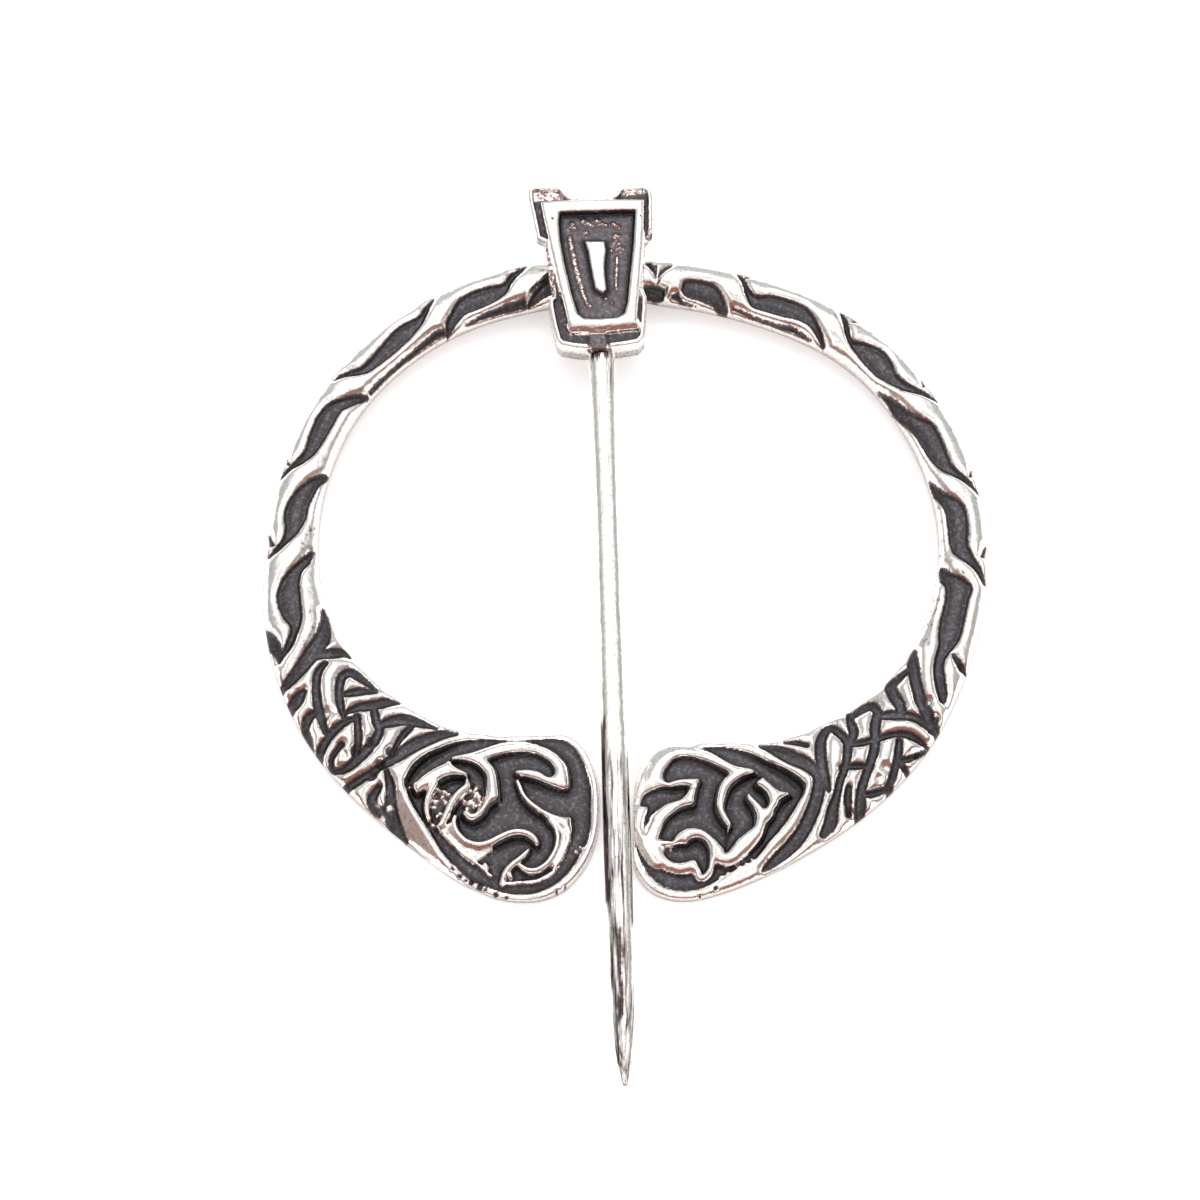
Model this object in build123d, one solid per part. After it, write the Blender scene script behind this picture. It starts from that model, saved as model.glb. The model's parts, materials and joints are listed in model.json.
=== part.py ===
"""Penannular kilt pin in cast silver, millimetres.

The brooch lies on its back: X across, Y along the pin from its point up to its head, Z up.
The origin is the middle of the whole length and width, on the surface that the brooch lies on.
"""

from build123d import *
from math import asin, cos, degrees, hypot, radians, sin
import os

# The ring's hoop
ring_radius = 21.0            # outer radius
hoop_width = 2.7              # radial width of the twisted hoop
hoop_thickness = 1.6          # at the crown
hoop_wall = 0.8               # height of the plain side walls
back_chamfer = 0.1            # softened edges of the back
hoop_relief = 0.75            # from the crown down to the sunken ground

# The ring's terminals
terminal_width = 9.6          # radial width of the right one, the left one is a little wider
terminal_thickness = 1.5
terminal_wall = 0.7
channel_spread = 0.14         # the knotwork's channels are this much wider than tabled
terminal_relief = 1.05        # the scrolls and the knotwork stand higher than the hoop's strands

# The pin's head
head_angle = 94.8             # where on the hoop the head sits, from the +X axis
plate_length = 9.15           # along the pin
plate_above = 4.35            # of that length, the part beyond the hoop's middle
plate_top = 6.35              # width of the plate's outer end
plate_bottom = 4.25           # width of the plate's end at the shaft
plate_thickness = 0.86
plate_edge = 0.12             # chamfer of the plate's front edges
rim_width = 0.72
field_depth = 0.5             # sunk field inside the rim
ridge_inset = 0.75            # from the rim to the low ridge in the field
ridge_width = 0.22
ridge_height = 0.2
bar_length = 3.8              # raised bar in the middle of the field
bar_top = 1.4
bar_bottom = 0.75
bar_height = 0.42

# The collar behind the plate, which wraps the hoop
collar_width = 3.8
collar_clearance = 0.07       # between the turning hoop and the collar
strap_thickness = 0.4         # the band behind the hoop
cheek_thickness = 0.8         # the collar's two sides

# The four lugs round the plate
lug_side = 0.74               # beyond the plate's sides
lug_end = 1.15                # beyond the plate's two ends
lug_notch = 2.1               # half of the gap that lets the hoop through
lug_depth = 1.5
lug_below_face = 0.32         # from the plate's face down to the lugs' edge
lug_edge = 0.38               # width of the lugs' raised edge
lug_groove = 0.4              # depth of the groove between that edge and the plate
lug_web = 0.75                # thickness of the web that carries the lugs
horn_width = 1.9              # each horn at the head's outer end
horn_dip = 0.55               # depth of the dip between the two horns

# The pin's shaft
shaft_reach = 50.45           # from the hoop's middle to the point
shaft_turn = 3.2              # degrees between the head's line and the shaft
shaft_width = 1.55            # where it lies between the terminals
shaft_flatness = 0.9          # height over width
shaft_root_height = 2.95      # height of its middle line at the head
shaft_tip_width = 0.5
shaft_tip_height = 0.39       # height of its middle line at the point
gap_clearance = 0.13          # between the shaft and each terminal

# Tables of the ring hold their lengths in shares of its radius, in 21sts. Those of the terminals are
# laid out for an outer edge at 21.2 and a width of 9.6, and their depth follows the terminals' width.
share = ring_radius / 21
tabled_edge = 21.2
tabled_width = 9.6
rest_line = -20.67            # the terminals' edge that meets the table, along Y
gap_line = -15.6              # where the terminals come nearest to each other, along Y

# The ring's sections: angle from +X, outer radius, growth from hoop to terminal, crown's share.
# The hoop is slimmer inside the collar, where the pin turns on it.
ring_sections = [
    (-89.5, 21.0, 1.07, 0.52),
    (-84, 21.0, 1.07, 0.72),
    (-77, 21.0, 1.06, 0.94),
    (-70, 20.8, 0.92, 1.00),
    (-63, 20.5, 0.775, 1.00),
    (-54, 20.45, 0.565, 1.00),
    (-44, 20.52, 0.44, 1.00),
    (-33, 20.6, 0.275, 1.00),
    (-22, 20.6, 0.14, 1.00),
    (-10, 20.75, 0.06, 1.00),
    (5, 21.1, 0.02, 1.00),
    (25, 21.45, 0.02, 1.00),
    (45, 21.55, 0.025, 1.00),
    (65, 20.95, 0.04, 1.00),
    (80, 20.6, 0.025, 1.00),
    (85.8, 20.55, 0.00, 1.00),
    (89, 20.33, -0.06, 1.00),
    (94.8, 20.33, -0.06, 1.00),
    (100.6, 20.45, -0.06, 1.00),
    (104, 20.95, 0.04, 1.00),
    (110, 21.2, 0.06, 1.00),
    (125, 21.45, 0.03, 1.00),
    (145, 21.5, 0.01, 1.00),
    (163, 21.22, 0.02, 1.00),
    (178, 21.02, 0.055, 1.00),
    (190, 21.2, 0.14, 1.00),
    (202, 21.28, 0.27, 1.00),
    (214, 21.25, 0.435, 1.00),
    (225, 21.15, 0.57, 1.00),
    (235, 21.2, 0.78, 1.00),
    (244, 21.62, 1.03, 1.00),
    (252, 21.85, 1.14, 0.94),
    (259, 21.9, 1.16, 0.74),
    (265, 21.8, 1.15, 0.52),
]

# The terminals' rounded ends: distance from the gap's side, place along Y
left_end = [
    (8.0, -10.2), (6.1, -10.8), (4.9, -10.82), (3.75, -10.8), (2.8, -10.75), (2.05, -10.75), (1.6, -10.95),
    (1.13, -11.35), (0.72, -12.0), (0.42, -12.7), (0.18, -13.4), (0.03, -14.1), (0.0, -14.8), (0.01, -15.8),
    (0.08, -16.5), (0.2, -17.1), (0.43, -17.85), (0.78, -18.6), (1.25, -19.28), (1.83, -19.9), (2.53, -20.33),
    (3.35, -20.6), (4.27, -20.67), (5.1, -20.6), (5.9, -20.4), (6.75, -20.03), (7.65, -19.65), (8.8, -19.35),
]
right_end = [
    (9.2, -10.4), (7.3, -11.1), (5.2, -11.27), (3.4, -11.23), (2.5, -11.22), (1.7, -11.38), (1.11, -11.77),
    (0.63, -12.37), (0.34, -13.0), (0.17, -13.7), (0.08, -14.6), (0.01, -15.4), (0.0, -16.2), (0.0, -17.2),
    (0.02, -18.1), (0.08, -18.72), (0.39, -19.4), (0.84, -19.95), (1.42, -20.33), (2.12, -20.55),
    (2.93, -20.6), (3.75, -20.5), (4.57, -20.28), (5.4, -20.0), (6.33, -19.63), (7.27, -19.2), (8.2, -18.75),
    (9.4, -18.35),
]

# Sunken pockets of the twisted hoop: angle, lower and upper edge as shares across the band
hoop_pockets = [
    [(106.2, .94, 1.0), (107.8, .75, .88), (110, .56, .77), (112, .34, .58), (115, .23, .62),
     (118, .20, .61), (120.3, .20, .55), (122.3, .12, .40), (124.2, .03, .26), (125.6, -.02, .05)],
    [(109.3, .93, .98), (107.9, .78, .88)],
    [(121.5, .03, .07), (117, .03, .13), (112, .02, .17), (109, .02, .20)],
    [(109.2, .0, .08), (107, .06, .28), (105, .12, .42), (103.6, .14, .50)],
    [(145.6, .82, .89), (144.2, .66, .84), (142.6, .44, .68), (140.5, .31, .55), (136, .26, .60),
     (132, .29, .71), (129.5, .36, .69), (127.5, .45, .66), (125.5, .62, .80), (123.3, .84, .90)],
    [(144, .03, .12), (138, .03, .11), (132, .03, .13), (127, .04, .19), (125.2, .03, .16)],
    [(165.2, .90, .98), (163.6, .76, .90), (161.8, .53, .76), (159.5, .37, .64), (156, .29, .68),
     (152.5, .27, .71), (150, .27, .63), (148, .16, .46), (146, .05, .28), (144.3, .01, .10)],
    [(161.3, .93, .98), (162.8, .78, .88)],
    [(179.6, .91, .98), (178.2, .67, .85), (176.3, .47, .69), (174.5, .33, .65), (172, .23, .71),
     (169.5, .21, .67), (167, .15, .54), (165, .10, .40), (163, .01, .22), (161.8, .0, .06)],
    [(175.1, .93, .98), (177.6, .78, .90)],
    [(198, .87, .95), (196.3, .67, .83), (194, .52, .68), (192.5, .44, .64), (190.5, .38, .72),
     (187, .35, .77), (184.5, .34, .70), (182.5, .28, .56), (180.5, .14, .38), (178, .05, .15)],
    [(191.8, .95, 1.04), (194.5, .87, .99), (197, .76, .88)],
    [(87, .02, .22), (84.5, -.02, .27), (82.4, .03, .22)],
    [(86.6, .78, .88), (85.3, .58, .74), (84.3, .32, .54)],
    [(81.9, .79, .88), (83.2, .58, .72), (84.2, .34, .54)],
    [(81.3, .06, .14), (80, .04, .20), (78.9, .01, .09), (76, .0, .04)],
    [(79.6, .22, .42), (78.3, .12, .50), (75.5, .08, .51), (73.3, .05, .45), (71.5, -.02, .27),
     (69.8, -.06, .06)],
    [(70.9, .88, .96), (69.2, .64, .80), (67.8, .40, .61), (66, .21, .48), (63.5, .19, .59),
     (60, .21, .63), (57.5, .25, .62), (55, .24, .48), (52.5, .11, .29), (50.2, -.02, .09)],
    [(68, .92, .98), (69.3, .76, .86)],
    [(69.3, .07, .13), (65, .03, .09), (60, .02, .09), (57, .03, .13), (53, .02, .06)],
    [(52.4, .88, .96), (50.5, .66, .82), (48.8, .45, .63), (47, .32, .45), (45, .24, .57), (42, .18, .70),
     (39.5, .17, .65), (37.5, .22, .55), (35.5, .31, .56), (33.5, .44, .68), (31.5, .68, .85),
     (29.5, .91, .99)],
    [(48.4, .93, .99), (49.7, .76, .86)],
    [(34.6, .92, .98), (32.8, .79, .88)],
    [(37.5, .0, .04), (34.5, .02, .15), (32, -.01, .23), (30, .01, .29), (28, .05, .42), (26, .09, .56),
     (23.5, .11, .57), (20.5, .15, .56), (18, .24, .56), (16.3, .39, .66), (14.5, .63, .84),
     (12, .92, 1.0)],
    [(16.6, .92, .98), (15, .80, .90)],
    [(17, .0, .04), (15, .01, .14), (13, .03, .28), (11.3, .10, .47), (9.5, .15, .59), (6, .16, .61),
     (3, .18, .58), (1, .27, .66), (-.5, .46, .78), (-2, .70, .90), (-4.2, .91, .99)],
    [(2.9, .92, .98), (.4, .80, .90)],
    [(-1, .02, .08), (-2.8, .04, .32), (-4.3, .08, .62), (-5.4, .17, .73), (-8, .23, .70),
     (-12, .25, .71), (-15, .31, .72), (-17.5, .39, .66), (-20, .43, .62), (-22.5, .51, .73),
     (-25, .66, .87), (-26.8, .80, .90)],
    [(-17.9, .62, .70), (-18.8, .70, .90), (-20.3, .88, 1.06)],
]

# Sunken channels of the knotwork and the scrolls: X, Y and width along each channel
left_channels = [
    [(-17.5, -3.1, .12), (-17.35, -4.0, .5), (-17.45, -5.0, .85), (-17.9, -5.9, .9), (-18.5, -6.8, .8),
     (-19.2, -7.6, .6), (-19.9, -8.2, .35)],
    [(-17.8, -6.2, .5), (-16.9, -5.95, .6), (-16.3, -5.8, .5), (-15.9, -6.0, .15)],
    [(-20.8, -4.4, .3), (-20.35, -5.1, .65), (-19.95, -5.8, .5), (-19.85, -6.4, .15)],
    [(-18.35, -8.3, .25), (-18.75, -8.75, .7), (-19.1, -9.2, .65), (-19.2, -9.6, .2)],
    [(-17.2, -6.6, .25), (-17.6, -7.3, .4), (-17.65, -8.3, .45), (-17.5, -9.3, .5), (-17.25, -10.2, .4),
     (-16.95, -11.0, .2)],
    [(-17.5, -9.5, .3), (-18.1, -9.95, .55), (-18.2, -10.6, .4), (-17.95, -11.2, .3),
     (-17.8, -11.7, .15)],
    [(-14.3, -8.15, .15), (-15.0, -7.55, .45), (-15.7, -7.1, .5), (-16.2, -7.4, .45), (-16.35, -8.2, .45),
     (-16.25, -9.2, .4), (-16.0, -10.0, .25)],
    [(-14.3, -8.25, .15), (-15.1, -8.3, .45), (-15.8, -8.5, .35), (-16.2, -8.6, .25)],
    [(-13.0, -8.85, .15), (-13.7, -8.9, .55), (-14.4, -9.2, .6), (-15.1, -9.35, .5), (-15.9, -9.7, .25)],
    [(-14.4, -9.3, .4), (-14.2, -10.1, .45), (-14.0, -10.8, .45), (-14.3, -11.5, .5), (-14.8, -12.1, .55),
     (-15.4, -12.65, .5), (-16.0, -13.0, .35), (-16.55, -12.9, .3), (-16.65, -12.3, .25),
     (-16.1, -11.55, .3)],
    [(-15.3, -9.9, .3), (-15.2, -10.7, .4), (-15.15, -11.6, .4), (-15.3, -12.5, .35)],
    [(-15.2, -10.05, .3), (-15.9, -10.25, .35), (-16.5, -10.7, .45), (-17.0, -11.3, .45),
     (-17.35, -12.0, .5), (-17.3, -12.6, .15)],
    [(-14.1, -10.55, .35), (-13.4, -10.2, .6), (-12.6, -10.0, .75), (-11.8, -10.15, .55),
     (-10.8, -10.45, .12)],
    [(-12.2, -10.4, .3), (-12.6, -10.95, .35), (-12.9, -11.5, .3), (-13.3, -12.3, .2)],
    [(-9.7, -10.75, .25), (-10.5, -10.85, .6), (-11.5, -11.35, .75), (-12.5, -12.0, .72),
     (-13.2, -12.55, .6), (-13.9, -13.0, .4), (-14.8, -13.5, .4), (-15.9, -14.1, .45)],
    [(-13.55, -13.15, .2), (-13.3, -14.0, .45), (-13.25, -14.9, .55), (-13.2, -15.7, .8),
     (-12.9, -16.4, .65), (-12.4, -17.1, .25)],
    [(-13.9, -14.1, .3), (-14.3, -14.8, .55), (-13.9, -15.4, .6), (-13.4, -15.7, .5)],
]
right_channels = [
    [(16.45, -5.7, .15), (16.3, -6.6, .6), (16.35, -7.5, .6), (16.5, -8.4, .6), (16.7, -9.2, .65),
     (17.1, -10.0, .7), (17.6, -10.9, .4)],
    [(16.1, -6.9, .3), (15.5, -7.4, .45), (15.0, -7.95, .6), (15.15, -8.6, .6), (15.4, -9.2, .6),
     (15.5, -9.8, .45)],
    [(14.2, -9.9, .4), (15.0, -9.85, .55), (15.8, -9.9, .45), (16.5, -10.1, .45), (17.3, -10.6, .45)],
    [(12.7, -9.85, .25), (13.2, -9.4, .5), (13.8, -9.15, .55), (14.15, -9.6, .5), (14.0, -10.4, .55),
     (13.95, -11.2, .5), (13.85, -12.0, .5), (13.6, -12.8, .45), (13.3, -13.6, .45), (13.05, -14.4, .5),
     (13.0, -15.2, .6), (12.95, -16.3, .5)],
    [(12.55, -9.6, .25), (12.65, -10.3, .45), (12.75, -10.9, .5), (12.5, -11.6, .45)],
    [(12.4, -11.65, .4), (13.2, -11.55, .35), (14.0, -11.35, .35), (14.7, -11.1, .3), (15.4, -11.0, .35),
     (16.1, -11.1, .35), (17.0, -11.6, .15)],
    [(11.25, -14.4, .2), (11.05, -13.8, .5), (10.9, -13.0, .6), (10.85, -12.1, .6), (10.95, -11.2, .55),
     (11.4, -10.5, .45), (11.95, -10.85, .45), (12.35, -11.5, .45), (12.35, -12.2, .45),
     (12.2, -13.0, .4), (11.9, -13.8, .4), (11.7, -14.6, .4), (11.45, -15.4, .55), (11.3, -16.2, .7),
     (10.9, -16.8, .4)],
    [(12.0, -13.05, .3), (12.7, -12.95, .35), (13.5, -12.95, .25)],
    [(13.1, -14.55, .3), (13.8, -14.4, .35), (14.45, -14.1, .3), (14.8, -13.6, .4), (15.0, -13.0, .4),
     (15.2, -12.3, .45), (15.3, -11.4, .35)],
    [(14.65, -13.9, .4), (14.8, -14.8, .4)],
    [(15.3, -12.5, .4), (15.9, -12.3, .3), (16.9, -11.75, .15)],
    [(15.2, -12.5, .35), (15.6, -12.95, .3), (15.95, -13.35, .25)],
    [(12.35, -14.2, .3), (12.3, -14.9, .4), (12.35, -15.6, .25)],
    [(7.5, -11.5, .2), (8.1, -11.7, .5), (8.7, -12.0, .8), (9.3, -12.4, .85), (10.0, -12.8, .75),
     (10.6, -13.4, .6), (10.7, -14.1, .65), (10.5, -15.0, .7), (10.2, -15.8, .7), (9.8, -16.6, .7),
     (9.3, -17.3, .7), (8.7, -17.9, .65), (8.0, -18.5, .45), (7.5, -18.9, .15)],
    [(8.9, -11.3, .15), (9.5, -11.35, .28), (10.1, -11.55, .25)],
]

# The left terminal's sunken field, and the flat bands and narrow strokes that stand in it
left_field = [
    (-12.5, -13.7), (-12.05, -12.85), (-11.5, -12.3), (-11.0, -11.95), (-10.5, -11.7), (-10.0, -11.42),
    (-9.5, -11.2), (-9.0, -11.05), (-8.5, -10.98), (-8.0, -10.95), (-7.3, -10.97), (-6.6, -11.0),
    (-5.6, -10.98), (-4.6, -10.9), (-4.0, -10.9), (-3.5, -11.0), (-3.1, -11.3), (-2.8, -11.65),
    (-2.5, -12.2), (-2.25, -12.85), (-2.1, -13.45), (-2.0, -14.2), (-1.98, -15.4), (-2.0, -16.1),
    (-2.07, -16.6), (-2.2, -17.15), (-2.4, -17.6), (-2.7, -18.2), (-3.0, -18.7), (-3.5, -19.35),
    (-4.0, -19.78), (-4.5, -20.07), (-5.0, -20.27), (-5.5, -20.4), (-6.0, -20.43), (-6.5, -20.4),
    (-7.0, -20.3), (-7.5, -20.12), (-8.0, -19.93), (-8.5, -19.75), (-8.9, -19.5), (-9.3, -19.15),
    (-9.7, -18.7), (-10.0, -18.35), (-10.4, -17.85), (-10.75, -17.3), (-11.2, -16.55), (-11.6, -15.95),
    (-12.0, -15.25), (-12.3, -14.65), (-12.47, -14.15),
]
left_bands = [
    [(-9.85, -12.38), (-9.0, -12.1), (-8.3, -11.82), (-7.5, -11.48), (-7.0, -11.33), (-6.5, -11.26),
     (-6.0, -11.26), (-5.5, -11.33), (-5.0, -11.48), (-4.5, -11.7), (-4.1, -11.95), (-3.75, -12.3),
     (-3.5, -12.65), (-3.36, -13.1), (-3.3, -13.6), (-3.32, -14.05), (-3.6, -14.17), (-4.0, -14.08),
     (-4.5, -13.9), (-5.0, -13.68), (-5.5, -13.53), (-6.0, -13.42), (-6.28, -13.22), (-5.9, -13.12),
     (-5.5, -13.1), (-5.0, -13.2), (-4.65, -13.42), (-4.4, -13.52), (-4.15, -13.38), (-4.05, -13.1),
     (-4.15, -12.8), (-4.35, -12.5), (-4.7, -12.22), (-5.1, -12.0), (-5.5, -11.9), (-6.0, -11.85),
     (-6.5, -11.9), (-7.0, -12.0), (-7.4, -12.15), (-7.88, -12.42), (-7.7, -12.75), (-7.5, -13.0),
     (-7.38, -13.4), (-7.3, -13.9), (-7.25, -14.4), (-7.25, -14.85), (-7.6, -15.1), (-7.8, -15.35),
     (-8.05, -15.75), (-8.4, -16.05), (-8.72, -16.13), (-9.0, -15.98), (-9.15, -15.7), (-8.95, -15.62),
     (-8.7, -15.82), (-8.42, -15.72), (-8.12, -15.35), (-7.95, -14.95), (-7.86, -14.5), (-7.86, -14.0),
     (-7.92, -13.5), (-8.05, -13.2), (-8.25, -12.95), (-8.55, -12.7), (-8.9, -12.52), (-9.3, -12.43)],
    [(-10.02, -12.6), (-10.4, -12.85), (-10.9, -13.15), (-11.4, -13.5), (-11.75, -13.82),
     (-11.97, -14.05), (-11.78, -14.45), (-11.4, -14.25), (-11.0, -14.08), (-10.6, -13.8),
     (-10.3, -13.6), (-10.0, -13.46), (-9.6, -13.42), (-9.02, -13.42), (-9.3, -13.22), (-9.6, -13.05),
     (-9.85, -12.85)],
    [(-9.0, -13.65), (-8.82, -14.1), (-8.9, -14.35), (-9.25, -14.6), (-9.6, -15.1), (-9.85, -15.6),
     (-10.1, -16.1), (-10.3, -16.45), (-10.6, -16.48), (-10.4, -16.1), (-10.1, -15.4), (-9.8, -14.75),
     (-9.4, -14.3), (-9.12, -14.05)],
    [(-4.95, -15.45), (-4.5, -15.62), (-4.0, -15.8), (-3.5, -15.88), (-3.22, -15.9), (-3.18, -16.3),
     (-3.25, -16.7), (-3.5, -16.6), (-3.9, -16.35), (-4.2, -16.1), (-4.6, -15.9)],
    [(-5.5, -17.82), (-5.65, -18.15), (-5.98, -18.5), (-6.3, -18.78), (-6.58, -19.1), (-6.8, -19.4),
     (-6.95, -19.85), (-7.02, -19.6), (-6.97, -19.3), (-6.82, -18.93), (-6.5, -18.58), (-6.1, -18.3),
     (-5.8, -18.05)],
]
left_strokes = [
    [(-10.8, -13.95, .35), (-11.05, -14.5, .3), (-11.22, -15.1, .24), (-11.2, -15.6, .16),
     (-11.08, -16.05, .06)],
    [(-9.62, -15.9, .08), (-9.68, -16.3, .2), (-9.55, -16.75, .27), (-9.3, -17.1, .3),
     (-8.95, -17.38, .33), (-8.5, -17.55, .36), (-8.1, -17.57, .38), (-7.7, -17.45, .36),
     (-7.3, -17.25, .33), (-6.85, -17.02, .32), (-6.4, -16.86, .32), (-6.0, -16.83, .33),
     (-5.6, -16.92, .35), (-5.3, -17.1, .33), (-5.1, -17.35, .22), (-5.05, -17.5, .1)],
    [(-6.18, -13.78, .08), (-6.05, -14.1, .12), (-5.9, -14.5, .15), (-5.65, -14.9, .17),
     (-5.3, -15.25, .2), (-4.9, -15.55, .25)],
    [(-4.3, -16.1, .3), (-4.02, -16.5, .2), (-3.9, -17.0, .17), (-3.93, -17.5, .18), (-4.1, -18.0, .2),
     (-4.4, -18.5, .24), (-4.8, -18.85, .26), (-5.2, -19.02, .27), (-5.6, -18.98, .27),
     (-5.95, -18.75, .12)],
]

# The right terminal's sunken pockets
right_pockets = [
    [(4.0, -11.62), (4.3, -11.45), (5.0, -11.4), (5.5, -11.45), (6.0, -11.55), (6.5, -11.7),
     (6.9, -11.9), (7.3, -12.15), (7.8, -12.45), (8.3, -12.72), (8.8, -13.0), (9.3, -13.35),
     (9.75, -13.75), (9.95, -14.1), (9.8, -14.6), (9.3, -14.8), (8.97, -14.6), (8.8, -14.55),
     (8.4, -14.4), (8.1, -14.15), (7.75, -13.8), (7.55, -13.62), (7.12, -13.2), (6.7, -13.02),
     (6.2, -12.9), (5.7, -12.65), (5.2, -12.3), (4.8, -12.02), (4.4, -11.82)],
    [(7.12, -13.12), (7.0, -13.25), (6.7, -13.37), (6.3, -13.6), (5.95, -13.85), (5.7, -14.15),
     (5.5, -14.6), (5.38, -15.0), (5.34, -15.4), (5.42, -15.7), (5.55, -16.0), (5.7, -16.4),
     (5.4, -16.9), (5.3, -17.8), (5.45, -18.05), (5.75, -17.75), (6.0, -17.4), (6.3, -17.1),
     (6.7, -16.8), (7.05, -16.5), (7.15, -16.1), (7.15, -15.85), (7.05, -15.5), (6.9, -15.2),
     (6.68, -14.9), (6.75, -14.62), (7.0, -14.93), (7.3, -15.22), (7.55, -15.48), (7.8, -15.38),
     (7.92, -15.1), (7.88, -14.8), (7.75, -14.5), (7.5, -14.2), (7.2, -13.97), (7.55, -13.6),
     (7.5, -13.3)],
    [(1.95, -13.45), (2.0, -13.1), (2.2, -12.7), (2.5, -12.35), (2.9, -12.15), (3.3, -12.1),
     (3.8, -12.2), (4.3, -12.4), (4.8, -12.65), (5.2, -12.9), (5.55, -13.15), (5.73, -13.35),
     (5.58, -13.52), (5.38, -13.7), (5.2, -14.0), (5.06, -14.4), (4.98, -14.9), (4.96, -15.3),
     (5.03, -15.65), (5.2, -16.0), (5.4, -16.3), (5.6, -16.5), (5.6, -17.2), (5.45, -18.0), (5.3, -17.8),
     (5.05, -17.5), (4.7, -17.15), (4.4, -16.88), (4.1, -16.7), (3.7, -16.6), (3.3, -16.62),
     (3.0, -16.75), (2.7, -17.0), (2.5, -17.35), (2.2, -17.3), (1.7, -17.15), (1.75, -16.8),
     (1.9, -16.4), (2.1, -16.0), (2.4, -15.7), (2.8, -15.4), (3.2, -15.25), (3.65, -15.15),
     (3.72, -14.8), (3.8, -14.4), (3.9, -14.0), (3.98, -13.7), (3.5, -13.65), (3.0, -13.68),
     (2.6, -13.75), (2.3, -13.85), (2.1, -13.75)],
    [(.6, -15.0), (.7, -14.7), (.9, -14.35), (1.2, -14.2), (1.6, -14.05), (2.0, -13.97), (2.4, -14.02),
     (2.9, -13.95), (3.2, -13.97), (3.5, -14.08), (3.8, -14.15), (3.5, -14.25), (3.35, -14.5),
     (3.2, -14.7), (2.9, -14.9), (2.5, -15.02), (2.1, -15.12), (1.8, -15.3), (1.5, -15.55), (1.3, -15.8),
     (1.2, -16.1), (1.05, -16.4), (.9, -16.75), (.8, -16.5), (.85, -16.0), (.95, -15.6), (1.05, -15.25),
     (.75, -15.15)],
    [(1.8, -17.6), (2.2, -17.5), (2.5, -17.48), (2.9, -17.42), (3.25, -17.42), (3.4, -17.25),
     (3.6, -17.15), (3.85, -17.12), (4.1, -17.2), (4.35, -17.4), (4.5, -17.7), (4.55, -18.0),
     (4.55, -18.4), (4.5, -18.8), (4.35, -19.1), (4.15, -19.3), (4.05, -19.3), (4.0, -19.05),
     (3.9, -18.8), (3.75, -18.5), (3.6, -18.42), (3.3, -18.5), (2.9, -18.57), (2.5, -18.5),
     (2.15, -18.3), (1.95, -18.05), (1.85, -17.8)],
    [(9.95, -14.1), (9.85, -14.6), (9.6, -15.0), (9.4, -15.35), (9.1, -15.85), (8.8, -16.3),
     (8.3, -16.9), (7.9, -17.35), (7.5, -17.9), (7.1, -18.35), (6.6, -18.65), (6.1, -18.9), (5.6, -19.2),
     (5.1, -19.5), (4.5, -19.85), (4.0, -20.08), (3.5, -20.2), (3.0, -20.22), (2.5, -20.15),
     (2.0, -19.97), (1.6, -19.72), (1.3, -19.42), (1.1, -19.2), (.8, -18.75), (.52, -18.15),
     (.35, -17.5), (.33, -16.8), (.44, -16.8), (.52, -17.2), (.7, -17.7), (.92, -18.1), (1.2, -18.5),
     (1.5, -18.75), (1.8, -18.75), (2.1, -18.88), (2.4, -19.0), (2.8, -19.12), (3.2, -19.1),
     (3.5, -19.04), (3.7, -19.18), (3.85, -19.45), (4.15, -19.52), (4.5, -19.3), (4.7, -18.95),
     (4.8, -18.5), (5.1, -18.62), (5.5, -18.68), (5.9, -18.55), (6.2, -18.35), (6.6, -18.0),
     (7.0, -17.6), (7.4, -17.1), (7.6, -16.6), (7.7, -16.3), (7.9, -16.1), (8.1, -15.8), (8.15, -15.5),
     (8.35, -15.25), (8.45, -15.0), (8.7, -14.8), (8.97, -14.6), (9.3, -14.4)],
]

# Widths of the shaft along its length, in shares of shaft_width: share of the length, width
shaft_widths = [(0.0, 1.1), (0.12, 0.98), (0.33, 0.9), (0.55, 0.97), (0.70, 1.0), (0.82, 0.96),
                (0.91, 0.84), (0.97, 0.6)]


def blend(start, end, growth):
    return start + growth * (end - start)


def band_edges(angle):
    """Inner and outer radius of the ring at an angle, between its tabled sections."""
    for before, after in zip(ring_sections, ring_sections[1:]):
        if before[0] <= angle <= after[0]:
            along = (angle - before[0]) / (after[0] - before[0])
            outer = share * blend(before[1], after[1], along)
            growth = blend(before[2], after[2], along)
            return outer - blend(hoop_width, terminal_width, growth), outer
    raise ValueError(f"no section of the ring near {angle} degrees")


head_turn = head_angle - 90
hoop_inner, hoop_outer = band_edges(head_angle)
hoop_middle = (hoop_inner + hoop_outer) / 2
hoop_bow = (collar_width / 2) ** 2 / (2 * hoop_middle)
hoop_sweep = hypot((hoop_outer - hoop_inner) / 2 + hoop_bow, hoop_thickness / 2 - back_chamfer)
channel_half = hoop_sweep + collar_clearance
axis_height = strap_thickness + channel_half
plate_back = axis_height + channel_half
plate_face = plate_back + plate_thickness
shaft_root = channel_half + cheek_thickness / 2


def radial_plane(angle):
    turn = radians(angle)
    return Plane(origin=(0, 0, 0), x_dir=(cos(turn), sin(turn), 0), z_dir=(sin(turn), -cos(turn), 0))


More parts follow.
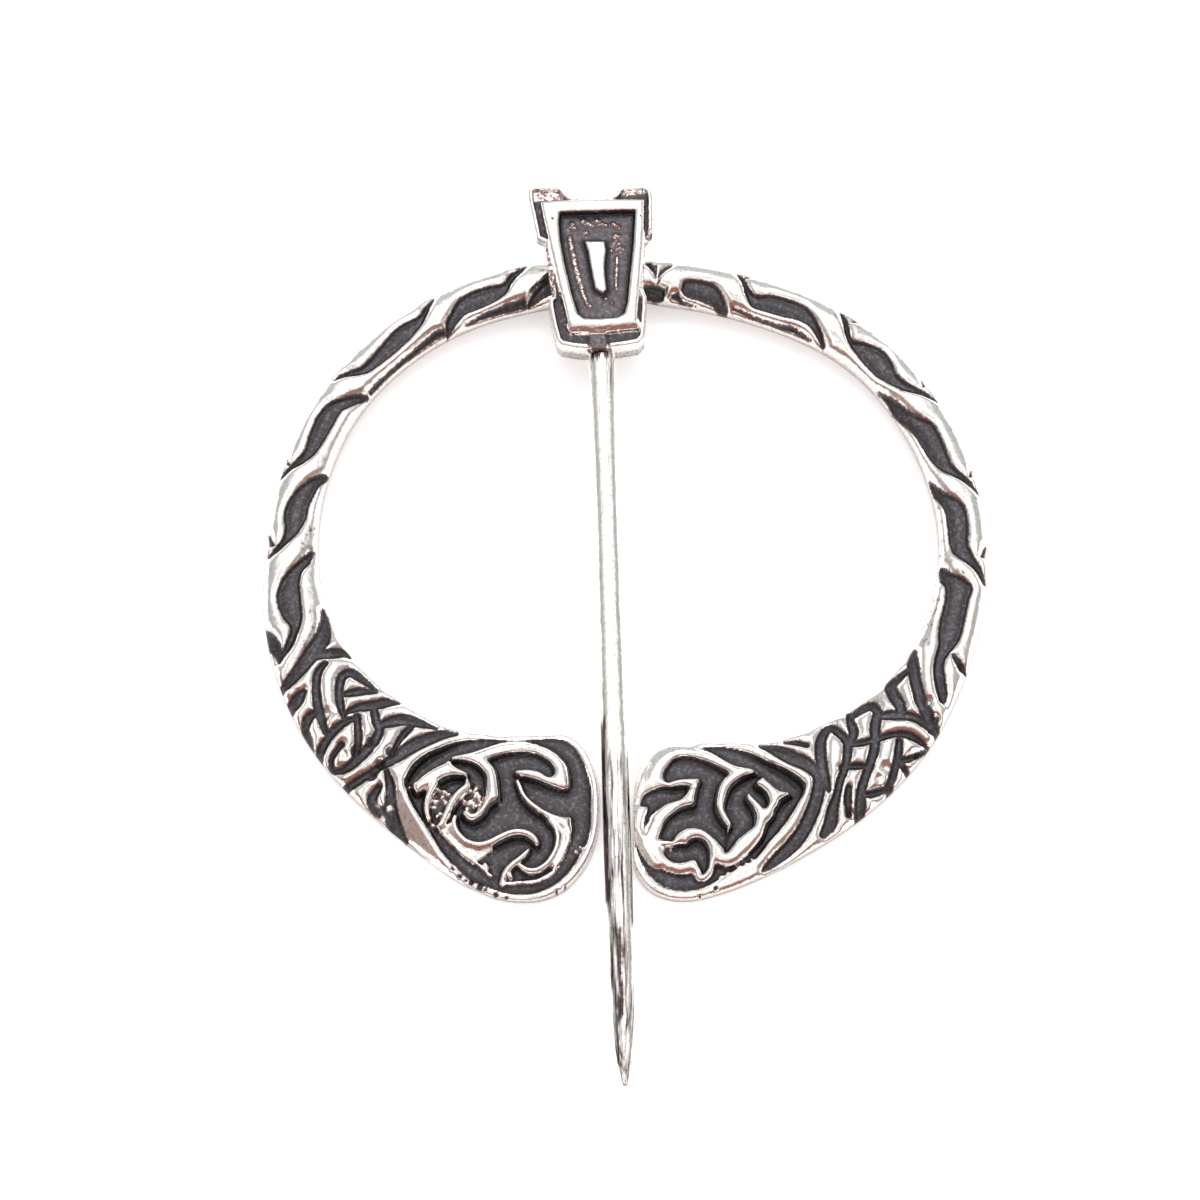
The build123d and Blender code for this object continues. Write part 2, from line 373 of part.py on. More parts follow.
def ring_section(angle, outer, growth, rise):
    """A flat back with softened edges, plain side walls and a domed crown."""
    outer_radius = share * outer
    inner_radius = outer_radius - blend(hoop_width, terminal_width, growth)
    wall = blend(hoop_wall, terminal_wall, growth)
    crown = blend(hoop_thickness, terminal_thickness, growth) * rise
    middle = (inner_radius + outer_radius) / 2
    foot = [(inner_radius, wall), (inner_radius, back_chamfer), (inner_radius + back_chamfer, 0),
            (outer_radius - back_chamfer, 0), (outer_radius, back_chamfer), (outer_radius, wall)]
    outline = Polyline(*foot) + ThreePointArc(foot[-1], (middle, crown), foot[0])
    return radial_plane(angle) * make_face(outline)


def strip(one_side, other_side):
    """A flat face between two smooth edges."""
    first = Spline(*one_side) if len(one_side) > 2 else Line(*one_side)
    second = Spline(*other_side) if len(other_side) > 2 else Line(*other_side)
    return make_face([first, Line(first @ 1, second @ 1), second, Line(second @ 0, first @ 0)])


def pocket(rows):
    def point(angle, across):
        inner, outer = band_edges(angle)
        radius = blend(inner, outer, across)
        return radius * cos(radians(angle)), radius * sin(radians(angle))
    lower = [point(angle, low) for angle, low, high in rows]
    upper = [point(angle, high) for angle, low, high in rows]
    return strip(lower, upper)


def followed(radius):
    """A tabled radius in the terminals, moved as the ratio of their width to the ring's radius changes."""
    return tabled_edge - (tabled_edge - radius) * terminal_width / (share * tabled_width)


def placed(x, y):
    """A tabled place in the terminals on the ring as it is built."""
    scale = share * followed(hypot(x, y)) / hypot(x, y)
    return scale * x, scale * y


def channel(table, spread=0.0):
    rows = [(*placed(x, y), share * (width + spread)) for x, y, width in table]
    left, right = [], []
    for number, (x, y, width) in enumerate(rows):
        before, after = rows[max(number - 1, 0)], rows[min(number + 1, len(rows) - 1)]
        run_x, run_y = after[0] - before[0], after[1] - before[1]
        half = width / 2 / hypot(run_x, run_y)
        left.append((x - run_y * half, y + run_x * half))
        right.append((x + run_y * half, y - run_x * half))
    return strip(left, right)


def area(table):
    return make_face(Polyline(*[placed(x, y) for x, y in table], close=True))


def raised(face, bottom, height):
    return extrude(Plane.XY.offset(bottom) * face, height, dir=(0, 0, 1))


def terminal_gap(middle):
    """The space between the two terminals and past their rounded ends."""
    half = shaft_width / 2 + gap_clearance
    left = Spline(*[(middle - half - share * away, -share * followed(-y)) for away, y in left_end])
    right = Spline(*[(middle + half + share * away, -share * followed(-y)) for away, y in right_end])
    below = -2 * ring_radius
    outside = Polyline(left @ 1, ((left @ 1).X, below), ((right @ 1).X, below), right @ 1)
    return make_face([left, outside, right, Line(right @ 0, left @ 0)])


def build_ring(gap_middle):
    above_all = hoop_thickness + terminal_thickness
    hoop_sunken = Sketch() + [pocket(rows) for rows in hoop_pockets]
    figure = [area(rows) for rows in left_bands] + [channel(rows) for rows in left_strokes]
    channels = [channel(rows, channel_spread) for rows in left_channels + right_channels]
    terminal_sunken = area(left_field) - figure + [area(rows) for rows in right_pockets] + channels
    body = loft([ring_section(*row) for row in ring_sections])
    return body - [
        raised(terminal_gap(gap_middle), -above_all, 2 * above_all),
        raised(hoop_sunken, hoop_thickness - hoop_relief, above_all),
        raised(terminal_sunken, terminal_thickness - terminal_relief, above_all),
    ]


def half_width(y):
    """Half of the plate's width at a distance from the hoop's middle."""
    return blend(plate_top, plate_bottom, (plate_above - y) / plate_length) / 2


def trapezoid(top_half, top, bottom_half, bottom):
    corners = [(top_half, top), (-top_half, top), (-bottom_half, bottom), (bottom_half, bottom)]
    return make_face(Polyline(*corners, close=True))


def plate_outline(side_inset, end_inset):
    top, bottom = plate_above - end_inset, plate_above - plate_length + end_inset
    top_half, bottom_half = half_width(top) - side_inset, half_width(bottom) - side_inset
    return trapezoid(top_half, top, bottom_half, bottom)


def build_plate():
    plate = raised(plate_outline(0, 0), plate_back, plate_thickness)
    plate = chamfer(plate.faces().sort_by(Axis.Z)[-1].edges(), plate_edge)
    floor = plate_face - field_depth
    plate -= raised(plate_outline(rim_width, rim_width), floor, 2 * field_depth)
    ridge_out = rim_width + ridge_inset
    ridge_in = ridge_out + ridge_width
    ridge = plate_outline(ridge_out, ridge_out) - plate_outline(ridge_in, ridge_in)
    bar_middle = plate_above - plate_length / 2
    bar = trapezoid(bar_top / 2, bar_middle + bar_length / 2, bar_bottom / 2, bar_middle - bar_length / 2)
    return plate + raised(ridge, floor, ridge_height) + raised(bar, floor, bar_height)


def build_collar():
    """Two cheeks and a strap that carry the plate in front of the hoop."""
    reach = channel_half + cheek_thickness
    block = Box(collar_width, 2 * reach, plate_back, align=(Align.CENTER, Align.CENTER, Align.MIN))
    block = chamfer(block.faces().sort_by(Axis.Z)[0].edges(), strap_thickness / 2)
    channel_space = Box(2 * collar_width, 2 * channel_half, 2 * channel_half)
    return block - Pos(0, 0, axis_height) * channel_space


def build_lugs():
    """A thin wall round the plate, open where the hoop passes and dipped between the horns."""
    outline = plate_outline(-lug_side, -lug_end)
    outline = fillet(outline.vertices(), lug_side)
    outer_half = half_width(plate_above + lug_end) + lug_side
    dip_half = outer_half - horn_width
    dip = Pos(0, plate_above + lug_end) * Ellipse(dip_half, horn_dip)
    notch = Rectangle(4 * outer_half, 2 * lug_notch)
    top = plate_face - lug_below_face
    walls = raised(outline - dip - notch, top - lug_depth, lug_depth)
    inside = plate_outline(lug_edge - lug_side, lug_edge - lug_end)
    walls -= raised(inside - dip, top - lug_groove, lug_depth)
    return walls - raised(inside - dip, top - lug_groove - lug_web - lug_depth, lug_depth)


def shaft_line(distance):
    """Point of the shaft's middle line at a distance from the hoop's middle, in the head's frame."""
    along = (distance - shaft_root) / (shaft_reach - shaft_root)
    turn = radians(shaft_turn)
    height = blend(shaft_root_height, shaft_tip_height, along)
    return Vector(-distance * sin(turn), -distance * cos(turn), height)


def build_shaft():
    heading = (shaft_line(shaft_reach) - shaft_line(shaft_root)).normalized()
    across = heading.cross(Vector(0, 0, 1)).normalized()
    tip = shaft_tip_width / shaft_width
    sections = []
    for along, width in shaft_widths + [(0.99, tip), (1.0, tip / 4)]:
        middle = shaft_line(blend(shaft_root, shaft_reach, along))
        half = shaft_width * width / 2
        place = Plane(origin=middle, x_dir=across, z_dir=heading)
        sections.append(place * Ellipse(half, half * shaft_flatness))
    return loft(sections, ruled=True)


def build_pin():
    return build_plate() + build_lugs() + build_collar() + build_shaft()


# The ring leans on the table, Z = 0, with its terminals' outer edge, lifted at the head by the strap
rest_y = share * rest_line
hoop_x, hoop_y = hoop_middle * cos(radians(head_angle)), hoop_middle * sin(radians(head_angle))
lever = hypot(hoop_y - rest_y, hoop_thickness / 2)
lean = asin(axis_height / lever) - asin(hoop_thickness / 2 / lever)
head_y = rest_y + (hoop_y - rest_y) * cos(lean) - hoop_thickness / 2 * sin(lean)
head_place = Pos(hoop_x, head_y, 0) * Rot(0, 0, head_turn)
gap_point = head_place * Pos(shaft_line(hoop_y - share * gap_line))

ring = Pos(0, rest_y, 0) * Rot(degrees(lean), 0, 0) * Pos(0, -rest_y, 0) * build_ring(gap_point.position.X)
pin = head_place * build_pin()

bounds = ring.bounding_box().add(pin.bounding_box())
to_origin = Pos(-bounds.center().X, -bounds.center().Y, 0)

os.makedirs("parts", exist_ok=True)
for name, solid in [("ring", ring), ("pin", pin)]:
    export_step(to_origin * solid, f"parts/{name}.step")
    print(name, round(solid.volume, 1), "mm3")

hinge = to_origin * head_place * Pos(0, 0, axis_height)
print("hinge", hinge.position, "turn", head_turn, "shift", to_origin.position, "lean", degrees(lean))
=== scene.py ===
import json
from math import asin, cos, hypot, pi, radians, sin
import bmesh
import bpy
import numpy as np
from bmesh.types import BMEdge, BMFace, BMVert
from mathutils import Matrix, Vector


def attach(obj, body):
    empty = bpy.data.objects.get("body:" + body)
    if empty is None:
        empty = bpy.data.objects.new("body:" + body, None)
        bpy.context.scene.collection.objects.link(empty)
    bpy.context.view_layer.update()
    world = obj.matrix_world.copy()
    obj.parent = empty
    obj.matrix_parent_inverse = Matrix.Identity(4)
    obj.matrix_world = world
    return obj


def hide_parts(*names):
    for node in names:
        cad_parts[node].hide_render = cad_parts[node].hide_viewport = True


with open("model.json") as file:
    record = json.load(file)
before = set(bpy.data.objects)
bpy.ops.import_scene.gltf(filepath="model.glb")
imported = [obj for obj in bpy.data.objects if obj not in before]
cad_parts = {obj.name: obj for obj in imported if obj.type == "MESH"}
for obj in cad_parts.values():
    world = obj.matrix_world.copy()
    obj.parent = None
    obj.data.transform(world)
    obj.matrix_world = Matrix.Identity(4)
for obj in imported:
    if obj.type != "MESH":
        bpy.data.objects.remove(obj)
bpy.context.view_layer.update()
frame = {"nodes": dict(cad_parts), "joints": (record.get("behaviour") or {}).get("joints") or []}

mm = 0.001
farAway = 9.0  # in mm, more than any distance that counts
print("frame loaded:", sorted(frame["nodes"]))


def toLinear(code):  # "#rrggbb" in sRGB
    parts = [int(code[i:i + 2], 16) / 255 for i in (1, 3, 5)]
    return [p / 12.92 if p <= 0.04045 else ((p + 0.055) / 1.055) ** 2.4 for p in parts] + [1]


def addNode(tree, kind, values=None, links=None, **settings):
    node = tree.nodes.new(kind)
    for name, setting in settings.items():
        setattr(node, name, setting)
    for socket, value in (values or {}).items():
        node.inputs[socket].default_value = value
    for socket, source in (links or {}).items():
        tree.links.new(source, node.inputs[socket])
    return node


def setStops(ramp, stops):  # a ramp's places and colours
    while len(ramp.elements) < len(stops):
        ramp.elements.new(0.5)
    for element, (position, code) in zip(ramp.elements, stops):
        element.position = position
        element.color = toLinear(code)


def newPiece(name, bm):
    mesh = bpy.data.meshes.new(name)
    bm.to_mesh(mesh)
    bm.free()
    piece = bpy.data.objects.new(name, mesh)
    bpy.context.scene.collection.objects.link(piece)
    return piece


def castPiece(name, bm, place):  # in metres at its place, smooth but for its flat back and ends
    bmesh.ops.recalc_face_normals(bm, faces=bm.faces)
    bmesh.ops.transform(bm, matrix=Matrix.Scale(mm, 4) @ place, verts=bm.verts)
    for face in bm.faces:
        face.smooth = len(face.verts) < 5
    return newPiece(name, bm)


def hingePlace():  # in mm
    return Vector(frame["joints"][0]["pos_m"]) / mm


# The cast ring: a hoop of twisted strands that widens into two carved terminals. Sizes in mm.
ring = {
    "hoopWidth": 2.7, "hoopThickness": 1.6, "hoopWall": 0.8,
    "terminalWidth": 9.6, "terminalThickness": 1.5, "terminalWall": 0.7, "terminalGround": 0.45,
    "backChamfer": 0.1, "restLine": -20.67, "gapLine": -15.6, "gapHalf": 0.905,
    "headAngle": 94.8, "shaftTurn": 3.2, "axisHeight": 1.8914,
    "seamAngle": -91, "gapFoot": -40,  # in the gap, where the angles start again, and well below it
    "cell": 0.08, "gridHalf": 21.96,  # spacing and reach of the modelled surface
    "wallRun": 0.2, "edgeRound": 0.36, "edgeDrop": 0.21,  # a wall's width, a worn edge's reach and fall
    "pocketCut": 0.5, "channelCut": 0.46, "channelSpread": 0.07,
    "floorRise": 0.22, "pocketRise": 0.5, "fieldRise": 0.6,  # floors climb towards their middle, up to here
    "slopeRun": 0.7, "armSlope": 0.62, "armRun": 0.3, "armStart": 0.12,
    "ridgeHeight": 0.35, "ridgeRun": 0.25, "dipDepth": 0.34, "beadHeight": 0.3, "pitDepth": 0.3,
    "bevelSpot": (2.2, -12.2, 2.6), "bevelRun": 0.8, "bevelDrop": 0.3,  # the right terminal's worn corner
    # where the oxide starts, where the polish took it off again, and the painted shade next to floor walls
    "oxideReach": 0.06, "oxideStart": 0.3, "oxideRun": 0.4, "tarnish": 0.21, "tarnishGain": 1.8,
    "paintedFloorLight": 0.3, "paintedPocketLightRun": 0.26, "paintedFieldLightStart": 0.1, "paintedFieldLightRun": 0.3,
    # the ridges and beads are polished; the rim and walls are dull, partly a painted reflection of shade
    "ridgeShine": 0.8, "ridgeShineRun": 0.15, "beadShine": 0.9, "rimDullShade": 0.5, "backDullShade": 1.0,
}
# angle from +X, outer radius, growth from hoop to terminal, crown's share
sections = [
    (-89.5, 21, 1.07, .52), (-84, 21, 1.07, .72), (-77, 21, 1.06, .94), (-70, 20.8, .92, 1),
    (-63, 20.5, .775, 1), (-54, 20.45, .565, 1), (-44, 20.52, .44, 1), (-33, 20.6, .275, 1),
    (-22, 20.6, .14, 1), (-10, 20.75, .06, 1), (5, 21.1, .02, 1), (25, 21.45, .02, 1), (45, 21.55, .025, 1),
    (65, 20.95, .04, 1), (80, 20.6, .025, 1), (85.8, 20.55, 0, 1), (89, 20.33, -.06, 1),
    (94.8, 20.33, -.06, 1), (100.6, 20.45, -.06, 1), (104, 20.95, .04, 1), (110, 21.2, .06, 1),
    (125, 21.45, .03, 1), (145, 21.5, .01, 1), (163, 21.22, .02, 1), (178, 21.02, .055, 1),
    (190, 21.2, .14, 1), (202, 21.28, .27, 1), (214, 21.25, .435, 1), (225, 21.15, .57, 1),
    (235, 21.2, .78, 1), (244, 21.62, 1.03, 1), (252, 21.85, 1.14, .94), (259, 21.9, 1.16, .74),
    (265, 21.8, 1.15, .52),
]

# The terminals' ends beside the gap: distance from the gap's edge, and y
leftEnd = [
    (8, -10.2), (6.1, -10.8), (4.9, -10.82), (3.75, -10.8), (2.8, -10.75), (2.05, -10.75), (1.6, -10.95),
    (1.13, -11.35), (.72, -12), (.42, -12.7), (.18, -13.4), (.03, -14.1), (0, -14.8), (.01, -15.8),
    (.08, -16.5), (.2, -17.1), (.43, -17.85), (.78, -18.6), (1.25, -19.28), (1.83, -19.9), (2.53, -20.33),
    (3.35, -20.6), (4.27, -20.67), (5.1, -20.6), (5.9, -20.4), (6.75, -20.03), (7.65, -19.65), (8.8, -19.35),
]
rightEnd = [
    (9.2, -10.4), (7.3, -11.1), (5.2, -11.27), (3.4, -11.23), (2.5, -11.22), (1.7, -11.38), (1.11, -11.77),
    (.63, -12.37), (.34, -13), (.17, -13.7), (.08, -14.6), (.01, -15.4), (0, -16.2), (0, -17.2), (.02, -18.1),
    (.08, -18.72), (.39, -19.4), (.84, -19.95), (1.42, -20.33), (2.12, -20.55), (2.93, -20.6), (3.75, -20.5),
    (4.57, -20.28), (5.4, -20), (6.33, -19.63), (7.27, -19.2), (8.2, -18.75), (9.4, -18.35),
]

# The twist's sunk fields between the strands: angle from +X, low side and high side as shares of the width
hoopPockets = [
    [(106.2, .94, 1), (107.8, .75, .88), (110, .56, .77), (112, .34, .58), (115, .23, .62), (118, .2, .61),
     (120.3, .2, .55), (122.3, .12, .4), (124.2, .03, .26), (125.6, -.02, .05)],
    [(109.3, .93, .98), (107.9, .78, .88)],
    [(121.5, .03, .07), (117, .03, .13), (112, .02, .17), (109, .02, .2)],
    [(109.2, 0, .08), (107, .06, .28), (105, .12, .42), (103.6, .14, .5)],
    [(145.6, .82, .89), (144.2, .66, .84), (142.6, .44, .68), (140.5, .31, .55), (136, .26, .6),
     (132, .29, .71), (129.5, .36, .69), (127.5, .45, .66), (125.5, .62, .8), (123.3, .84, .9)],
    [(144, .03, .12), (138, .03, .11), (132, .03, .13), (127, .04, .19), (125.2, .03, .16)],
    [(165.2, .9, .98), (163.6, .76, .9), (161.8, .53, .76), (159.5, .37, .64), (156, .29, .68),
     (152.5, .27, .71), (150, .27, .63), (148, .16, .46), (146, .05, .28), (144.3, .01, .1)],
    [(161.3, .93, .98), (162.8, .78, .88)],
    [(179.6, .91, .98), (178.2, .67, .85), (176.3, .47, .69), (174.5, .33, .65), (172, .23, .71),
     (169.5, .21, .67), (167, .15, .54), (165, .1, .4), (163, .01, .22), (161.8, 0, .06)],
    [(175.1, .93, .98), (177.6, .78, .9)],
    [(198, .87, .95), (196.3, .67, .83), (194, .52, .68), (192.5, .44, .64), (190.5, .38, .72),
     (187, .35, .77), (184.5, .34, .7), (182.5, .28, .56), (180.5, .14, .38), (178, .05, .15)],
    [(191.8, .95, 1.04), (194.5, .87, .99), (197, .76, .88)],
    [(87, .02, .22), (84.5, -.02, .27), (82.4, .03, .22)],
    [(86.6, .78, .88), (85.3, .58, .74), (84.3, .32, .54)],
    [(81.9, .79, .88), (83.2, .58, .72), (84.2, .34, .54)],
    [(81.3, .06, .14), (80, .04, .2), (78.9, .01, .09), (76, 0, .04)],
    [(79.6, .22, .42), (78.3, .12, .5), (75.5, .08, .51), (73.3, .05, .45), (71.5, -.02, .27),
     (69.8, -.06, .06)],
    [(70.9, .88, .96), (69.2, .64, .8), (67.8, .4, .61), (66, .21, .48), (63.5, .19, .59), (60, .21, .63),
     (57.5, .25, .62), (55, .24, .48), (52.5, .11, .29), (50.2, -.02, .09)],
    [(68, .92, .98), (69.3, .76, .86)],
    [(69.3, .07, .13), (65, .03, .09), (60, .02, .09), (57, .03, .13), (53, .02, .06)],
    [(52.4, .88, .96), (50.5, .66, .82), (48.8, .45, .63), (47, .32, .45), (45, .24, .57), (42, .18, .7),
     (39.5, .17, .65), (37.5, .22, .55), (35.5, .31, .56), (33.5, .44, .68), (31.5, .68, .85),
     (29.5, .91, .99)],
    [(48.4, .93, .99), (49.7, .76, .86)],
    [(34.6, .92, .98), (32.8, .79, .88)],
    [(37.5, 0, .04), (34.5, .02, .15), (32, -.01, .23), (30, .01, .29), (28, .05, .42), (26, .09, .56),
     (23.5, .11, .57), (20.5, .15, .56), (18, .24, .56), (16.3, .39, .66), (14.5, .63, .84), (12, .92, 1)],
    [(16.6, .92, .98), (15, .8, .9)],
    [(17, 0, .04), (15, .01, .14), (13, .03, .28), (11.3, .1, .47), (9.5, .15, .59), (6, .16, .61),
     (3, .18, .58), (1, .27, .66), (-.5, .46, .78), (-2, .7, .9), (-4.2, .91, .99)],
    [(2.9, .92, .98), (.4, .8, .9)],
    [(-1, .02, .08), (-2.8, .04, .32), (-4.3, .08, .62), (-5.4, .17, .73), (-8, .23, .7), (-12, .25, .71),
     (-15, .31, .72), (-17.5, .39, .66), (-20, .43, .62), (-22.5, .51, .73), (-25, .66, .87),
     (-26.8, .8, .9)],
    [(-17.9, .62, .7), (-18.8, .7, .9), (-20.3, .88, 1.06)],
]

# Narrow channels between the strands of the knotwork: place and width
leftChannels = [
    [(-17.5, -3.1, .12), (-17.35, -4, .5), (-17.45, -5, .85), (-17.9, -5.9, .9), (-18.5, -6.8, .8),
     (-19.2, -7.6, .6), (-19.9, -8.2, .35)],
    [(-17.8, -6.2, .5), (-16.9, -5.95, .6), (-16.3, -5.8, .5), (-15.9, -6, .15)],
    [(-20.8, -4.4, .3), (-20.35, -5.1, .65), (-19.95, -5.8, .5), (-19.85, -6.4, .15)],
    [(-18.35, -8.3, .25), (-18.75, -8.75, .7), (-19.1, -9.2, .65), (-19.2, -9.6, .2)],
    [(-17.2, -6.6, .25), (-17.6, -7.3, .4), (-17.65, -8.3, .45), (-17.5, -9.3, .5), (-17.25, -10.2, .4),
     (-16.95, -11, .2)],
    [(-17.5, -9.5, .3), (-18.1, -9.95, .55), (-18.2, -10.6, .4), (-17.95, -11.2, .3), (-17.8, -11.7, .15)],
    [(-14.3, -8.15, .15), (-15, -7.55, .45), (-15.7, -7.1, .5), (-16.2, -7.4, .45), (-16.35, -8.2, .45),
     (-16.25, -9.2, .4), (-16, -10, .25)],
    [(-14.3, -8.25, .15), (-15.1, -8.3, .45), (-15.8, -8.5, .35), (-16.2, -8.6, .25)],
    [(-13, -8.85, .15), (-13.7, -8.9, .55), (-14.4, -9.2, .6), (-15.1, -9.35, .5), (-15.9, -9.7, .25)],
    [(-14.4, -9.3, .4), (-14.2, -10.1, .45), (-14, -10.8, .45), (-14.3, -11.5, .5), (-14.8, -12.1, .55),
     (-15.4, -12.65, .5), (-16, -13, .35), (-16.55, -12.9, .3), (-16.65, -12.3, .25), (-16.1, -11.55, .3)],
    [(-15.3, -9.9, .3), (-15.2, -10.7, .4), (-15.15, -11.6, .4), (-15.3, -12.5, .35)],
    [(-15.2, -10.05, .3), (-15.9, -10.25, .35), (-16.5, -10.7, .45), (-17, -11.3, .45), (-17.35, -12, .5),
     (-17.3, -12.6, .15)],
    [(-14.1, -10.55, .35), (-13.4, -10.2, .6), (-12.6, -10, .75), (-11.8, -10.15, .55), (-10.8, -10.45, .12)],
    [(-12.2, -10.4, .3), (-12.6, -10.95, .35), (-12.9, -11.5, .3), (-13.3, -12.3, .2)],
    [(-9.7, -10.75, .25), (-10.5, -10.85, .6), (-11.5, -11.35, .75), (-12.5, -12, .72), (-13.2, -12.55, .6),
     (-13.9, -13, .4), (-14.8, -13.5, .4), (-15.9, -14.1, .45)],
    [(-13.55, -13.15, .2), (-13.3, -14, .45), (-13.25, -14.9, .55), (-13.2, -15.7, .8), (-12.9, -16.4, .65),
     (-12.4, -17.1, .25)],
    [(-13.9, -14.1, .3), (-14.3, -14.8, .55), (-13.9, -15.4, .6), (-13.4, -15.7, .5)],
]
rightChannels = [
    [(16.45, -5.7, .15), (16.3, -6.6, .6), (16.35, -7.5, .6), (16.5, -8.4, .6), (16.7, -9.2, .65),
     (17.1, -10, .7), (17.6, -10.9, .4)],
    [(16.1, -6.9, .3), (15.5, -7.4, .45), (15, -7.95, .6), (15.15, -8.6, .6), (15.4, -9.2, .6),
     (15.5, -9.8, .45)],
    [(14.2, -9.9, .4), (15, -9.85, .55), (15.8, -9.9, .45), (16.5, -10.1, .45), (17.3, -10.6, .45)],
    [(12.7, -9.85, .25), (13.2, -9.4, .5), (13.8, -9.15, .55), (14.15, -9.6, .5), (14, -10.4, .55),
     (13.95, -11.2, .5), (13.85, -12, .5), (13.6, -12.8, .45), (13.3, -13.6, .45), (13.05, -14.4, .5),
     (13, -15.2, .6), (12.95, -16.3, .5)],
    [(12.55, -9.6, .25), (12.65, -10.3, .45), (12.75, -10.9, .5), (12.5, -11.6, .45)],
    [(12.4, -11.65, .4), (13.2, -11.55, .35), (14, -11.35, .35), (14.7, -11.1, .3), (15.4, -11, .35),
     (16.1, -11.1, .35), (17, -11.6, .15)],
    [(11.25, -14.4, .2), (11.05, -13.8, .5), (10.9, -13, .6), (10.85, -12.1, .6), (10.95, -11.2, .55),
     (11.4, -10.5, .45), (11.95, -10.85, .45), (12.35, -11.5, .45), (12.35, -12.2, .45), (12.2, -13, .4),
     (11.9, -13.8, .4), (11.7, -14.6, .4), (11.45, -15.4, .55), (11.3, -16.2, .7), (10.9, -16.8, .4)],
    [(12, -13.05, .3), (12.7, -12.95, .35), (13.5, -12.95, .25)],
    [(13.1, -14.55, .3), (13.8, -14.4, .35), (14.45, -14.1, .3), (14.8, -13.6, .4), (15, -13, .4),
     (15.2, -12.3, .45), (15.3, -11.4, .35)],
    [(14.65, -13.9, .4), (14.8, -14.8, .4)],
    [(15.3, -12.5, .4), (15.9, -12.3, .3), (16.9, -11.75, .15)],
    [(15.2, -12.5, .35), (15.6, -12.95, .3), (15.95, -13.35, .25)],
    [(12.35, -14.2, .3), (12.3, -14.9, .4), (12.35, -15.6, .25)],
    [(7.5, -11.5, .2), (8.1, -11.7, .5), (8.7, -12, .8), (9.3, -12.4, .85), (10, -12.8, .75),
     (10.6, -13.4, .6), (10.7, -14.1, .65), (10.5, -15, .7), (10.2, -15.8, .7), (9.8, -16.6, .7),
     (9.3, -17.3, .7), (8.7, -17.9, .65), (8, -18.5, .45), (7.5, -18.9, .15)],
    [(8.9, -11.3, .15), (9.5, -11.35, .28), (10.1, -11.55, .25)],
]

# The left terminal's sunken field, and what stands up in it: flat bands and narrow strokes with their widths
leftField = [
    (-12.5, -13.7), (-12.05, -12.85), (-11.5, -12.3), (-11, -11.95), (-10.5, -11.7), (-10, -11.42),
    (-9.5, -11.2), (-9, -11.05), (-8.5, -10.98), (-8, -10.95), (-7.3, -10.97), (-6.6, -11), (-5.6, -10.98),
    (-4.6, -10.9), (-4, -10.9), (-3.5, -11), (-3.1, -11.3), (-2.8, -11.65), (-2.5, -12.2), (-2.25, -12.85),
    (-2.1, -13.45), (-2, -14.2), (-1.98, -15.4), (-2, -16.1), (-2.07, -16.6), (-2.2, -17.15), (-2.4, -17.6),
    (-2.7, -18.2), (-3, -18.7), (-3.5, -19.35), (-4, -19.78), (-4.5, -20.07), (-5, -20.27), (-5.5, -20.4),
    (-6, -20.43), (-6.5, -20.4), (-7, -20.3), (-7.5, -20.12), (-8, -19.93), (-8.5, -19.75), (-8.9, -19.5),
    (-9.3, -19.15), (-9.7, -18.7), (-10, -18.35), (-10.4, -17.85), (-10.75, -17.3), (-11.2, -16.55),
    (-11.6, -15.95), (-12, -15.25), (-12.3, -14.65), (-12.47, -14.15),
]
